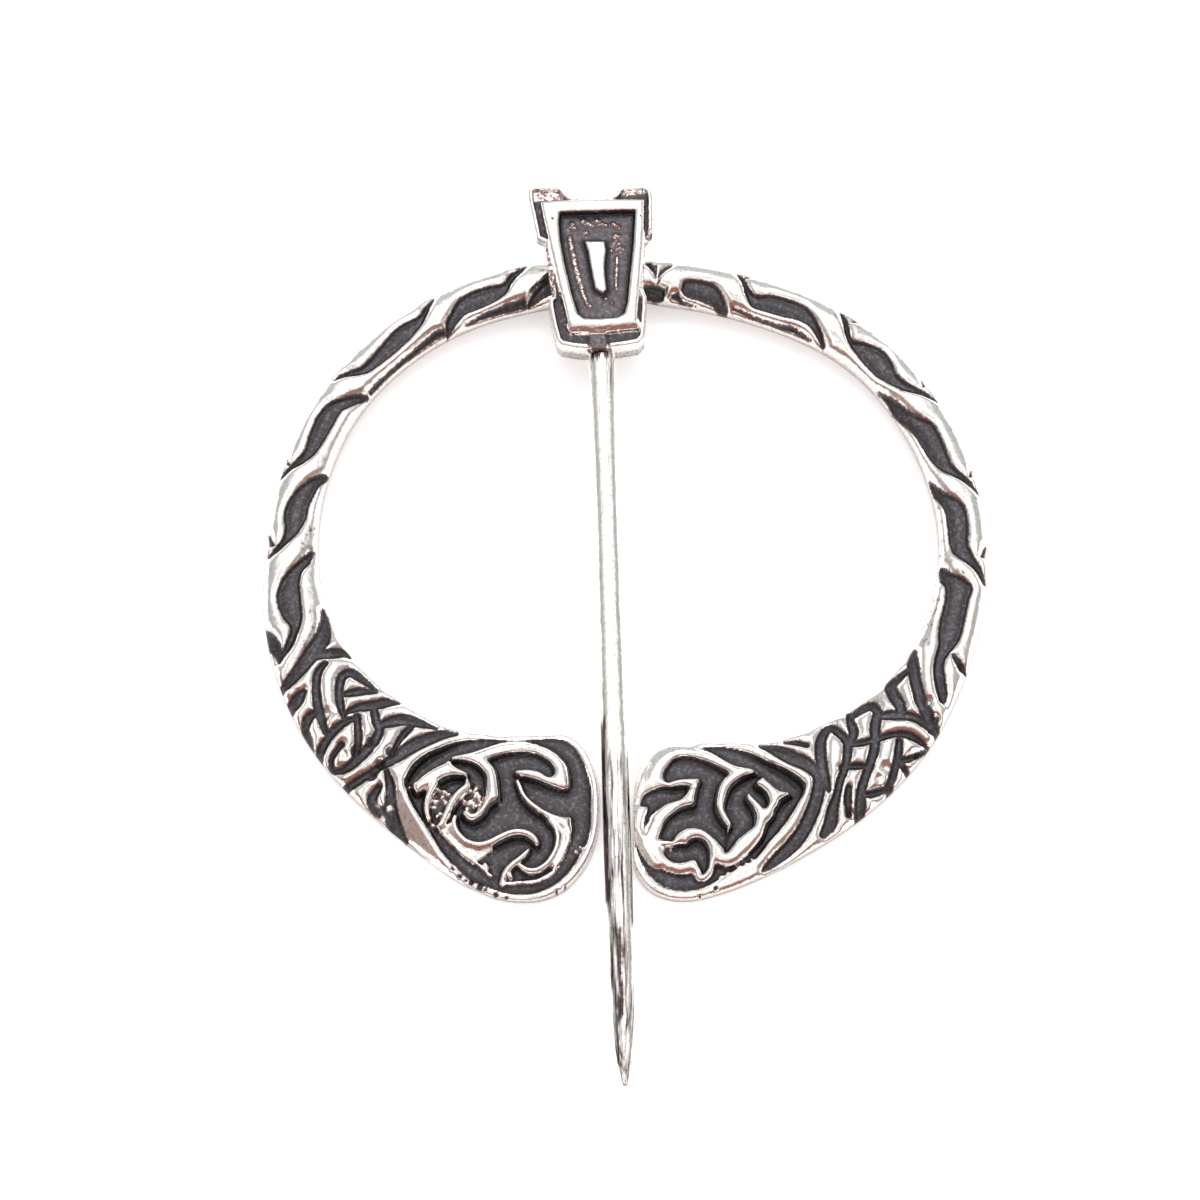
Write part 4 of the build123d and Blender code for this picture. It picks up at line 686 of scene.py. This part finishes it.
# low ridges beside the bar: place and width
ridgeLines = [
    [(-1.61, 1.8, .1), (-1.53, .57, .14), (-1.38, -.66, .14), (-1.19, -1.95, .12), (-1.02, -2.82, .06)],
    [(1.09, .14, .02), (.98, -.85, .06), (.84, -2.12, .02)],
]
roughBits = [  # casting beads in the recess: place and radius
    (-1.41, 2.75, .3), (-1.3, 2.45, .26), (-.7, 2.92, .28), (-.45, 2.7, .36), (-.15, 2.5, .3),
    (.1, 2.85, .32), (.35, 2.6, .3), (.6, 2.5, .24), (1.06, 2.57, .22), (1.28, 2.35, .3), (-.84, -3.14, .24),
    (-.98, -3, .18), (-.6, 2.06, .26), (.19, -2.74, .22), (.5, -3.05, .2), (1.05, 1.2, .4), (1.3, .75, .36),
    (.8, .65, .26), (1.2, 1.7, .3),
]
facePits = [
    (-2.55, 3.08, .1), (2.78, 2.86, .08),
]
headOutline = [
    (-3.9, 5.1), (-3.86, 5.5), (-3.6, 5.74), (-3, 5.72), (-1.95, 5.63), (-1.72, 5.4), (-1.5, 4.98),
    (-1.2, 4.76), (0, 4.7), (1.18, 4.68), (1.42, 4.82), (1.6, 5.1), (1.86, 5.28), (3.24, 5.24), (3.5, 5.08),
    (3.62, 4.7), (3.6, 4.1), (3.53, 3), (3.44, 2.1), (3.3, 1.5), (2.92, 1.1), (2.82, .9), (2.74, 0),
    (2.6, -1.2), (2.5, -2.3), (2.62, -2.75), (2.56, -3.4), (2.46, -4.1), (2.33, -5), (2.22, -5.5),
    (1.86, -5.88), (.9, -6), (-.3, -6.05), (-1.34, -5.98), (-2, -5.86), (-2.72, -5.62), (-2.95, -5.3),
    (-3.1, -4.3), (-3.2, -3.3), (-3.22, -2.5), (-2.98, -2.2), (-3.02, -1.6), (-3.08, -.6), (-3.1, .6),
    (-3.12, 1.62), (-3.4, 1.8), (-3.62, 1.98), (-3.68, 2.7), (-3.78, 3.7), (-3.88, 4.6),
]
# the mound between the plate and the shaft: place and width
moundLine = [
    (-.62, -4.7, 1.2), (-.52, -5.3, 1.5), (-.48, -6.2, 1.3),
]


def headShapes():
    shapes = {name: np.array(rows, float) for name, rows in (
        ("plate", plateOutline), ("field", fieldOutline), ("bar", barOutline), ("outline", headOutline))}
    shapes["ridges"] = [smoothRun(rows, 4) for rows in ridgeLines]
    shapes["mound"] = smoothRun(moundLine, 4)
    return shapes


def waistAt(places):  # one between the upper and the lower lugs, none at them
    x, y = places[:, 0], places[:, 1]
    aboveFoot = easeIn((y - head["waistFoot"]) / head["waistFootRun"])
    return aboveFoot * easeIn((head["waistTop"] + head["waistTilt"] * x - y) / head["waistTopRun"])


def plateFace(places, shapes, plate, below):  # the rim, the sunk field and its bar
    face, run = head["face"], head["wallRun"]
    field, bar = (areaDistance(shapes[name], places) for name in ("field", "bar"))
    ridge = np.min([lineDistance(rows, places) for rows in shapes["ridges"]], axis=0)
    onRidge = 1 - clamped(ridge / head["ridgeRun"])
    onBar = easeIn(0.5 - bar / run)
    bead, pit = beads(roughBits, places), beads(facePits, places)
    floor = face - head["fieldDepth"] + head["floorRise"] * clamped(-field / head["floorRiseRun"])
    floor += head["ridgeHeight"] * onRidge + head["bitHeight"] * bead
    barTop = face - head["fieldDepth"] + head["barHeight"] - wornEdge(head, -bar)
    floor = floor + onBar * (barTop - floor)
    top = face - wornEdge(head, -plate) - wornEdge(head, field) - head["pitDepth"] * pit
    top -= below * head["apronDrop"] * clamped(plate / head["apronRun"])
    top = top + easeIn(-field / run) * (floor - top)
    # the field is painted lighter away from its walls and the bar: painted shade next to them
    clear = head["paintedClearLight"] * clamped((np.minimum(-field, bar) - head["clearStart"]) / head["clearRun"])
    depth = easeIn(head["fieldOxide"] - field / run) * (1 - clear) * (1 - head["barShine"] * onBar)
    worn = np.maximum(head["ridgeShine"] * onRidge, head["bitShine"] * bead)
    return top, np.maximum(depth * (1 - worn), pit)


def lugFace(places, shapes, plate):  # the grooved lugs, the mound below the plate and the waist between them
    face, run = head["face"], head["wallRun"]
    edge = -areaDistance(shapes["outline"], places)
    mound = lineDistance(shapes["mound"], places)
    inGroove = easeIn((edge - head["lugEdge"]) / run)
    risen = easeIn(-mound / head["moundRun"])
    waist = waistAt(places)
    horn = easeIn((places[:, 1] - head["hornFoot"]) / head["hornRun"])
    lugTop = face - head["lugDrop"] - wornEdge(head, edge)
    cut = np.maximum(inGroove, easeIn(-mound / head["moundEdge"]))
    groove = lugTop + cut * (face - head["grooveDrop"] - lugTop)
    groove += head["moundHeight"] * risen
    slope = face - head["waistDrop"] - head["waistSlope"] * clamped(plate)
    slope = np.maximum(slope, head["underside"] + head["waistWall"])
    shade = np.maximum(inGroove, head["moundOxide"] * risen)
    shade = shade * (head["grooveOxide"] - head["hornShine"] * horn) * (1 - head["moundShine"] * risen)
    shade = np.maximum(shade, head["waistOxide"] * waist)
    return groove + waist * (slope - groove), shade


def headSurface(places, shapes):  # height of the head's front, and how deep the oxide and the painted shade lie
    plate = areaDistance(shapes["plate"], places)
    below = easeIn((head["apronTop"] - places[:, 1]) / head["apronEase"])
    top, depth = plateFace(places, shapes, plate, below)
    outside, shade = lugFace(places, shapes, plate)
    off = plate - below * head["apronRun"]
    height = top + easeIn(off / head["wallRun"]) * (outside - top)
    outer = easeIn((off - head["outerOxide"]) / head["wallRun"]) * shade
    return height, np.where(plate > 0, outer, depth)


def headUnderside(places, shapes):
    edge = -areaDistance(shapes["outline"], places)
    thin = easeIn((places[:, 1] - head["thinFoot"]) / head["thinRun"])
    deep = head["face"] - head["lugDrop"] - head["lugDepth"] + thin * (head["lugDepth"] - head["hornDepth"])
    web = head["face"] - head["webDepth"] + thin * (head["webDepth"] - head["hornDepth"] - head["lugDrop"])
    lug = deep + easeIn((edge - head["lugEdge"]) / head["wallRun"]) * (web - deep)
    return lug + waistAt(places) * (head["underside"] - lug)


def pinPlace():
    hinge = hingePlace()
    return Matrix.Translation((hinge.x, hinge.y, 0)) @ Matrix.Rotation(radians(head["turn"]), 4, "Z")


def nearestPoint(outline, place):
    best, found = 9e9, place
    for start, end in pairsOf(outline):
        span = end - start
        along = clamped((place - start) @ span / max(span @ span, 1e-9))
        spot = start + along * span
        away = np.hypot(*(place - spot))
        if away < best:
            best, found = away, spot
    return found


def makeHead():
    shapes = headShapes()
    bm = bmesh.new()
    dullAndShaded, oxideAndShade = [bm.verts.layers.float.new(name) for name in ("dullAndShaded", "oxideAndShade")]
    rim = gridWithin(bm, head, lambda places: -areaDistance(shapes["outline"], places))
    outline = np.vstack([shapes["outline"], shapes["outline"][:1]])
    for v in rim:  # the grid's ragged border moves onto the outline
        v.co[:2] = nearestPoint(outline, np.array(v.co[:2]))

    copied = bmesh.ops.duplicate(bm, geom=bm.faces[:] + bm.edges[:] + bm.verts[:])["geom"]
    back = only(copied, BMVert)
    bmesh.ops.reverse_faces(bm, faces=only(copied, BMFace))
    backSet = set(back)
    front = [v for v in bm.verts if v not in backSet]
    border = [e for e in bm.edges if e.is_boundary and e.verts[0] not in backSet]
    setSurface(front, oxideAndShade, *headSurface(placesOf(front), shapes))
    setSurface(back, oxideAndShade, headUnderside(placesOf(back), shapes), [head["backOxide"]] * len(back))

    foot = only(bmesh.ops.extrude_edge_only(bm, edges=border)["geom"], BMVert)
    setSurface(foot, oxideAndShade, headUnderside(placesOf(foot), shapes), [head["wallOxide"]] * len(foot))
    # the walls are dull: rougher, and tinted with a painted reflection of the shaded floor
    for v in foot:
        v[dullAndShaded] = head["wallDullShade"]
    seam = foot + [v for v in back if v.is_boundary]
    bmesh.ops.remove_doubles(bm, verts=seam, dist=1e-5)
    addCollar(bm, oxideAndShade)
    return castPiece("castHead", bm, pinPlace())


def addBox(bm, oxideAndShade, low, high, bevel):
    made = bmesh.ops.create_cube(bm, size=1)["verts"]
    for v in made:
        v.co = [a + (b - a) * (c + 0.5) for a, b, c in zip(low, high, v.co)]
    edges = list({e for v in made for e in v.link_edges})
    made = bmesh.ops.bevel(bm, geom=edges, offset=bevel, segments=2, affect="EDGES")["verts"]
    for v in made:
        v[oxideAndShade] = head["backOxide"]


def addCollar(bm, oxideAndShade):  # two cheeks and a strap wrap the hoop behind the plate
    half, channel, reach = head["collarWidth"] / 2, head["channelHalf"], head["channelHalf"] + head["cheek"]
    top = head["face"] - head["webDepth"] + head["cheekRise"]
    addBox(bm, oxideAndShade, (-half, -reach, 0), (half, reach, head["strap"]), head["strapBevel"])
    for side in (-1, 1):
        low, high = sorted((side * channel, side * reach))
        addBox(bm, oxideAndShade, (-half, low, head["strap"] / 2), (half, high, top), head["cheekBevel"])


castHead = makeHead()
print("head done:", len(castHead.data.polygons))


# The pin's shaft, filed out of the casting, with the file's marks left in places. Sizes in mm from the hinge.
shaft = {
    "turn": 3.2, "rootHeight": 2.95, "tipHeight": 0.39, "root": 1.8914, "reach": 50.45, "flat": 0.9,
    "sides": 28, "streakFade": 0.8, "streakCore": 1.5,
}
# distance from the hinge, half width
shaftHalf = [
    (4.3, .2), (4.9, .46), (5.5, .74), (6.1, .85), (6.6, .84), (8, .79), (12, .72), (18, .69), (24, .72),
    (30, .75), (36, .78), (40.5, .77), (44.5, .72), (47.5, .6), (49.2, .42), (50, .26), (50.35, .15),
    (50.45, .03),
]
# The streak from 29.3 to 40.5 mm on the left side is a painted reflection of the left terminal.
shaftStreaks = [  # stretch of the shaft, angle round it from +X, half width of the streak, strength
    (3.4, 6.9, 1.75, 1.1, 1.2), (4, 9, 1, .4, .5), (29.3, 40.5, 2.75, .62, 1.3), (30.5, 42, .4, .35, .9),
    (31, 50, 1.6, 1.2, .5), (41.2, 47.4, 1.6, .36, 1.1), (38, 50, 2.4, .4, .8), (42, 50, .6, .3, .7),
    (48, 50.5, 1.6, 1.4, .6),
]


def streakAt(distance, around):
    total = 0
    for start, end, middle, half, strength in shaftStreaks:
        along = min((distance - start) / shaft["streakFade"], (end - distance) / shaft["streakFade"], 1)
        across = shaft["streakCore"] * (1 - abs(around - middle) / half)
        total = max(total, strength * min(along, across, 1))
    return total


def makeShaft():
    bm = bmesh.new()
    streaked = bm.verts.layers.float.new("streaked")
    turn, sides = radians(shaft["turn"]), shaft["sides"]
    slope = (shaft["tipHeight"] - shaft["rootHeight"]) / (shaft["reach"] - shaft["root"])
    loops = []
    for distance, half in smoothRun(shaftHalf, 6):
        height = shaft["rootHeight"] + slope * (distance - shaft["root"])
        loop = []
        for number in range(sides):
            around = 2 * pi * number / sides
            across, up = half * cos(around), half * shaft["flat"] * sin(around)
            x = -distance * sin(turn) + across * cos(turn)
            y = -distance * cos(turn) - across * sin(turn)
            v = bm.verts.new((x, y, height + up))
            v[streaked] = streakAt(distance, around)
            loop.append(v)
        loops.append(loop)
    for before, after in pairsOf(loops):
        for i in range(sides):
            j = (i + 1) % sides
            bm.faces.new((before[i], before[j], after[j], after[i]))
    bm.faces.new(loops[0][::-1])
    bm.faces.new(loops[-1])
    return castPiece("castShaft", bm, pinPlace())


castShaft = makeShaft()
print("shaft done:", len(castShaft.data.polygons))


# The floors are also painted darker next to their walls: painted shade.
# Cast sterling silver, tumbled and polished on the raised work, with black liver-of-sulphur oxide left in
# the recesses: bright crests with a soft swell in their gloss over matt, grainy grey floors. Sizes in mm.
# The file marks are drawn wider than real ones, so that they show.
finish = {
    "mottle": 0.22, "grain": 0.12, "grainHeight": 0.02,
    "swell": 0.8, "swellHeight": 0.12, "swellStrength": 0.5,
    "fileMark": 0.16, "markTurn": 1.6, "markThin": 0.035,  # file marks run along the shaft
    "mottleShare": 1.3, "streakShare": 0.42, "dullShadeShare": 0.8, "dullRoughness": 0.25,
    "marks": {"From Min": 0.63, "From Max": 0.86},
    "roughness": {"From Min": 0.3, "From Max": 0.55, "To Min": 0.15, "To Max": 0.5},
    "grainStrength": {"From Min": 0.3, "From Max": 0.6, "To Min": 0.12, "To Max": 0.8},
    # pinkish grey: random tarnish, and on the walls a painted reflection of shade; dark brown: file marks,
    # and a painted reflection of the left terminal on the shaft
    "tarnishAndShadeColour": "#a4958f", "markAndReflectionColour": "#4c3f3d",
    # oxide from bright silver to black; the brownish stops from 0.31 to 0.46 paint a pinkish reflection along
    # the tops of the walls, and the darkest stops also the painted shade next to the walls
    "oxideAndShade": [(0.0, "#f6f3f0"), (0.2, "#ece7e4"), (0.31, "#cdbfba"), (0.39, "#7a5855"), (0.46, "#6b5c5b"),
              (0.56, "#67656a"), (0.68, "#514f53"), (0.84, "#3b393c"), (1.0, "#2b292b")],
}


def makeCastSilver(name):
    material = bpy.data.materials.new(name)
    material.use_nodes = True
    tree = material.node_tree
    tree.nodes.clear()
    place = addNode(tree, "ShaderNodeTexCoord").outputs["Object"]
    oxideAndShade, dullAndShaded, streaked = (addNode(tree, "ShaderNodeAttribute", attribute_name=layer).outputs["Fac"]
                             for layer in ("oxideAndShade", "dullAndShaded", "streaked"))
    mottle = addNode(tree, "ShaderNodeTexNoise",
                     {"Scale": 1 / (finish["mottle"] * mm), "Detail": 5, "Roughness": 0.65},
                     {"Vector": place})
    drift = addNode(tree, "ShaderNodeMath", {1: 0.5}, {0: mottle.outputs["Fac"]}, operation="SUBTRACT")
    mottledOxideAndShade = addNode(tree, "ShaderNodeMath", {1: finish["mottleShare"]}, {0: drift.outputs[0], 2: oxideAndShade},
                   operation="MULTIPLY_ADD")
    colour = addNode(tree, "ShaderNodeValToRGB", None, {0: mottledOxideAndShade.outputs[0]})
    setStops(colour.color_ramp, finish["oxideAndShade"])

    drawn = addNode(tree, "ShaderNodeMapping",
                    {"Rotation": (0, 0, radians(finish["markTurn"])), "Scale": (1, finish["markThin"], 1)},
                    {"Vector": place})
    scored = addNode(tree, "ShaderNodeTexNoise", {"Scale": 1 / (finish["fileMark"] * mm), "Detail": 4},
                     {"Vector": drawn.outputs[0]})
    press = addNode(tree, "ShaderNodeMath", {1: finish["streakShare"]},
                    {0: streaked, 2: scored.outputs["Fac"]}, operation="MULTIPLY_ADD")
    markedAndMirrored = addNode(tree, "ShaderNodeMapRange", finish["marks"], {"Value": press.outputs[0]})
    # dull places and the random mottling mix in the pinkish grey: random tarnish, and on the walls a painted
    # reflection of shade
    wearAndShade = addNode(tree, "ShaderNodeMath", {1: finish["dullShadeShare"]}, {0: dullAndShaded, 2: drift.outputs[0]},
                   operation="MULTIPLY_ADD")
    fadedAndShaded = addNode(tree, "ShaderNodeMix", {7: toLinear(finish["tarnishAndShadeColour"])},
                    {0: wearAndShade.outputs[0], 6: colour.outputs[0]}, data_type="RGBA", clamp_factor=True)
    # file marks in dark brown, and on the shaft's left side a painted reflection of the left terminal
    lined = addNode(tree, "ShaderNodeMix", {7: toLinear(finish["markAndReflectionColour"])},
                    {0: markedAndMirrored.outputs[0], 6: fadedAndShaded.outputs[2]}, data_type="RGBA", clamp_factor=True)

    stain = addNode(tree, "ShaderNodeMapRange", finish["roughness"], {"Value": mottledOxideAndShade.outputs[0]})
    rough = addNode(tree, "ShaderNodeMath", {1: finish["dullRoughness"]}, {0: dullAndShaded, 2: stain.outputs[0]},
                    operation="MULTIPLY_ADD")
    grain = addNode(tree, "ShaderNodeTexNoise", {"Scale": 1 / (finish["grain"] * mm), "Detail": 3},
                    {"Vector": place})
    swell = addNode(tree, "ShaderNodeTexNoise", {"Scale": 1 / (finish["swell"] * mm), "Detail": 2},
                    {"Vector": place})
    pitted = addNode(tree, "ShaderNodeMapRange", finish["grainStrength"], {"Value": mottledOxideAndShade.outputs[0]})
    fine = addNode(tree, "ShaderNodeBump", {"Distance": finish["grainHeight"] * mm},
                   {"Height": grain.outputs["Fac"], "Strength": pitted.outputs[0]})
    bump = addNode(tree, "ShaderNodeBump",
                   {"Strength": finish["swellStrength"], "Distance": finish["swellHeight"] * mm},
                   {"Height": swell.outputs["Fac"], "Normal": fine.outputs[0]})
    shader = addNode(tree, "ShaderNodeBsdfPrincipled", {"Metallic": 1.0},
                     {"Base Color": lined.outputs[2], "Roughness": rough.outputs[0],
                      "Normal": bump.outputs[0]})
    addNode(tree, "ShaderNodeOutputMaterial", None, {"Surface": shader.outputs[0]})
    return material


castSilver = makeCastSilver("oxidised cast silver")
for piece, body in ((castRing, "ring"), (castHead, "pin"), (castShaft, "pin")):
    piece.data.materials.append(castSilver)
    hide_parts(body)
    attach(piece, body)
print("silver done")


# Studio: a white sheet under a light tent, whose low band stands for the room that silver mirrors. In mm.
studio = {
    "floorHalf": 1400, "paper": "#fafafa", "paperRoughness": 0.9, "paperLight": "#fdfeff", "paperGlow": 0.38,
    "aim": (-1.539, 1.458, 0.0), "distance": 180, "tilt": 27, "lens": 92.9, "sensor": 36, "clip": 10,
    "lampPlace": (0, 178, 350), "lampSize": 260, "lampPower": 0.32, "glow": 1.22, "folds": 2.2,
    "climb": {"From Min": 0.38, "From Max": 0.68},
    "horizon": [(0.0, "#8c5f53"), (0.25, "#94786f"), (0.5, "#aaa5a2"), (0.75, "#b0b3b1"), (1.0, "#bcc3c1")],
    "cloth": [(0.0, "#ffffff"), (0.52, "#ffffff"), (0.62, "#d9d4d2"), (1.0, "#c9c4c2")],
}


def makeFloor():
    bm = bmesh.new()
    bmesh.ops.create_grid(bm, x_segments=1, y_segments=1, size=studio["floorHalf"] * mm)
    floor = newPiece("floor", bm)
    paper = bpy.data.materials.new("white paper sheet")
    paper.use_nodes = True
    inputs = paper.node_tree.nodes["Principled BSDF"].inputs
    for socket, value in (("Base Color", toLinear(studio["paper"])), ("Roughness", studio["paperRoughness"]),
                          ("Emission Color", toLinear(studio["paperLight"])),
                          ("Emission Strength", studio["paperGlow"])):
        inputs[socket].default_value = value
    floor.data.materials.append(paper)


def makeLamp():
    lamp = bpy.data.lights.new("softbox", "AREA")
    lamp.size = studio["lampSize"] * mm
    lamp.energy = studio["lampPower"]
    softbox = bpy.data.objects.new("softbox", lamp)
    softbox.location = Vector(studio["lampPlace"]) * mm
    softbox.rotation_euler = softbox.location.to_track_quat("Z", "Y").to_euler()
    bpy.context.scene.collection.objects.link(softbox)


def makeTent():
    world = bpy.data.worlds.new("tent")
    world.use_nodes = True
    tree = world.node_tree
    tree.nodes.clear()
    heading = addNode(tree, "ShaderNodeTexCoord").outputs["Generated"]
    parts = addNode(tree, "ShaderNodeSeparateXYZ", None, {0: heading})
    side = addNode(tree, "ShaderNodeMapRange", {"From Min": -1.0}, {"Value": parts.outputs[1]})
    low = addNode(tree, "ShaderNodeValToRGB", None, {0: side.outputs[0]})
    setStops(low.color_ramp, studio["horizon"])
    folds = addNode(tree, "ShaderNodeTexNoise", {"Scale": studio["folds"], "Detail": 2}, {"Vector": heading})
    cloth = addNode(tree, "ShaderNodeValToRGB", None, {0: folds.outputs["Fac"]})
    setStops(cloth.color_ramp, studio["cloth"])
    climb = addNode(tree, "ShaderNodeMapRange", studio["climb"], {"Value": parts.outputs[2]},
                    interpolation_type="SMOOTHSTEP")
    tent = addNode(tree, "ShaderNodeMix", None, {0: climb.outputs[0], 6: low.outputs[0], 7: cloth.outputs[0]},
                   data_type="RGBA")
    glow = addNode(tree, "ShaderNodeBackground", {"Strength": studio["glow"]}, {"Color": tent.outputs[2]})
    addNode(tree, "ShaderNodeOutputWorld", None, {"Surface": glow.outputs[0]})
    bpy.context.scene.world = world


def makeCamera():
    camera = bpy.data.objects.new("camera", bpy.data.cameras.new("camera"))
    tilt = radians(studio["tilt"])
    back = Vector((0, -sin(tilt), cos(tilt)))
    camera.location = (Vector(studio["aim"]) + studio["distance"] * back) * mm
    camera.rotation_euler = (tilt, 0, 0)
    camera.data.lens = studio["lens"]
    camera.data.sensor_width = studio["sensor"]
    camera.data.clip_start = studio["clip"] * mm
    bpy.context.scene.collection.objects.link(camera)
    bpy.context.scene.camera = camera


makeFloor()
makeLamp()
makeTent()
makeCamera()
bpy.context.scene.view_settings.view_transform = "Standard"
print("studio done")
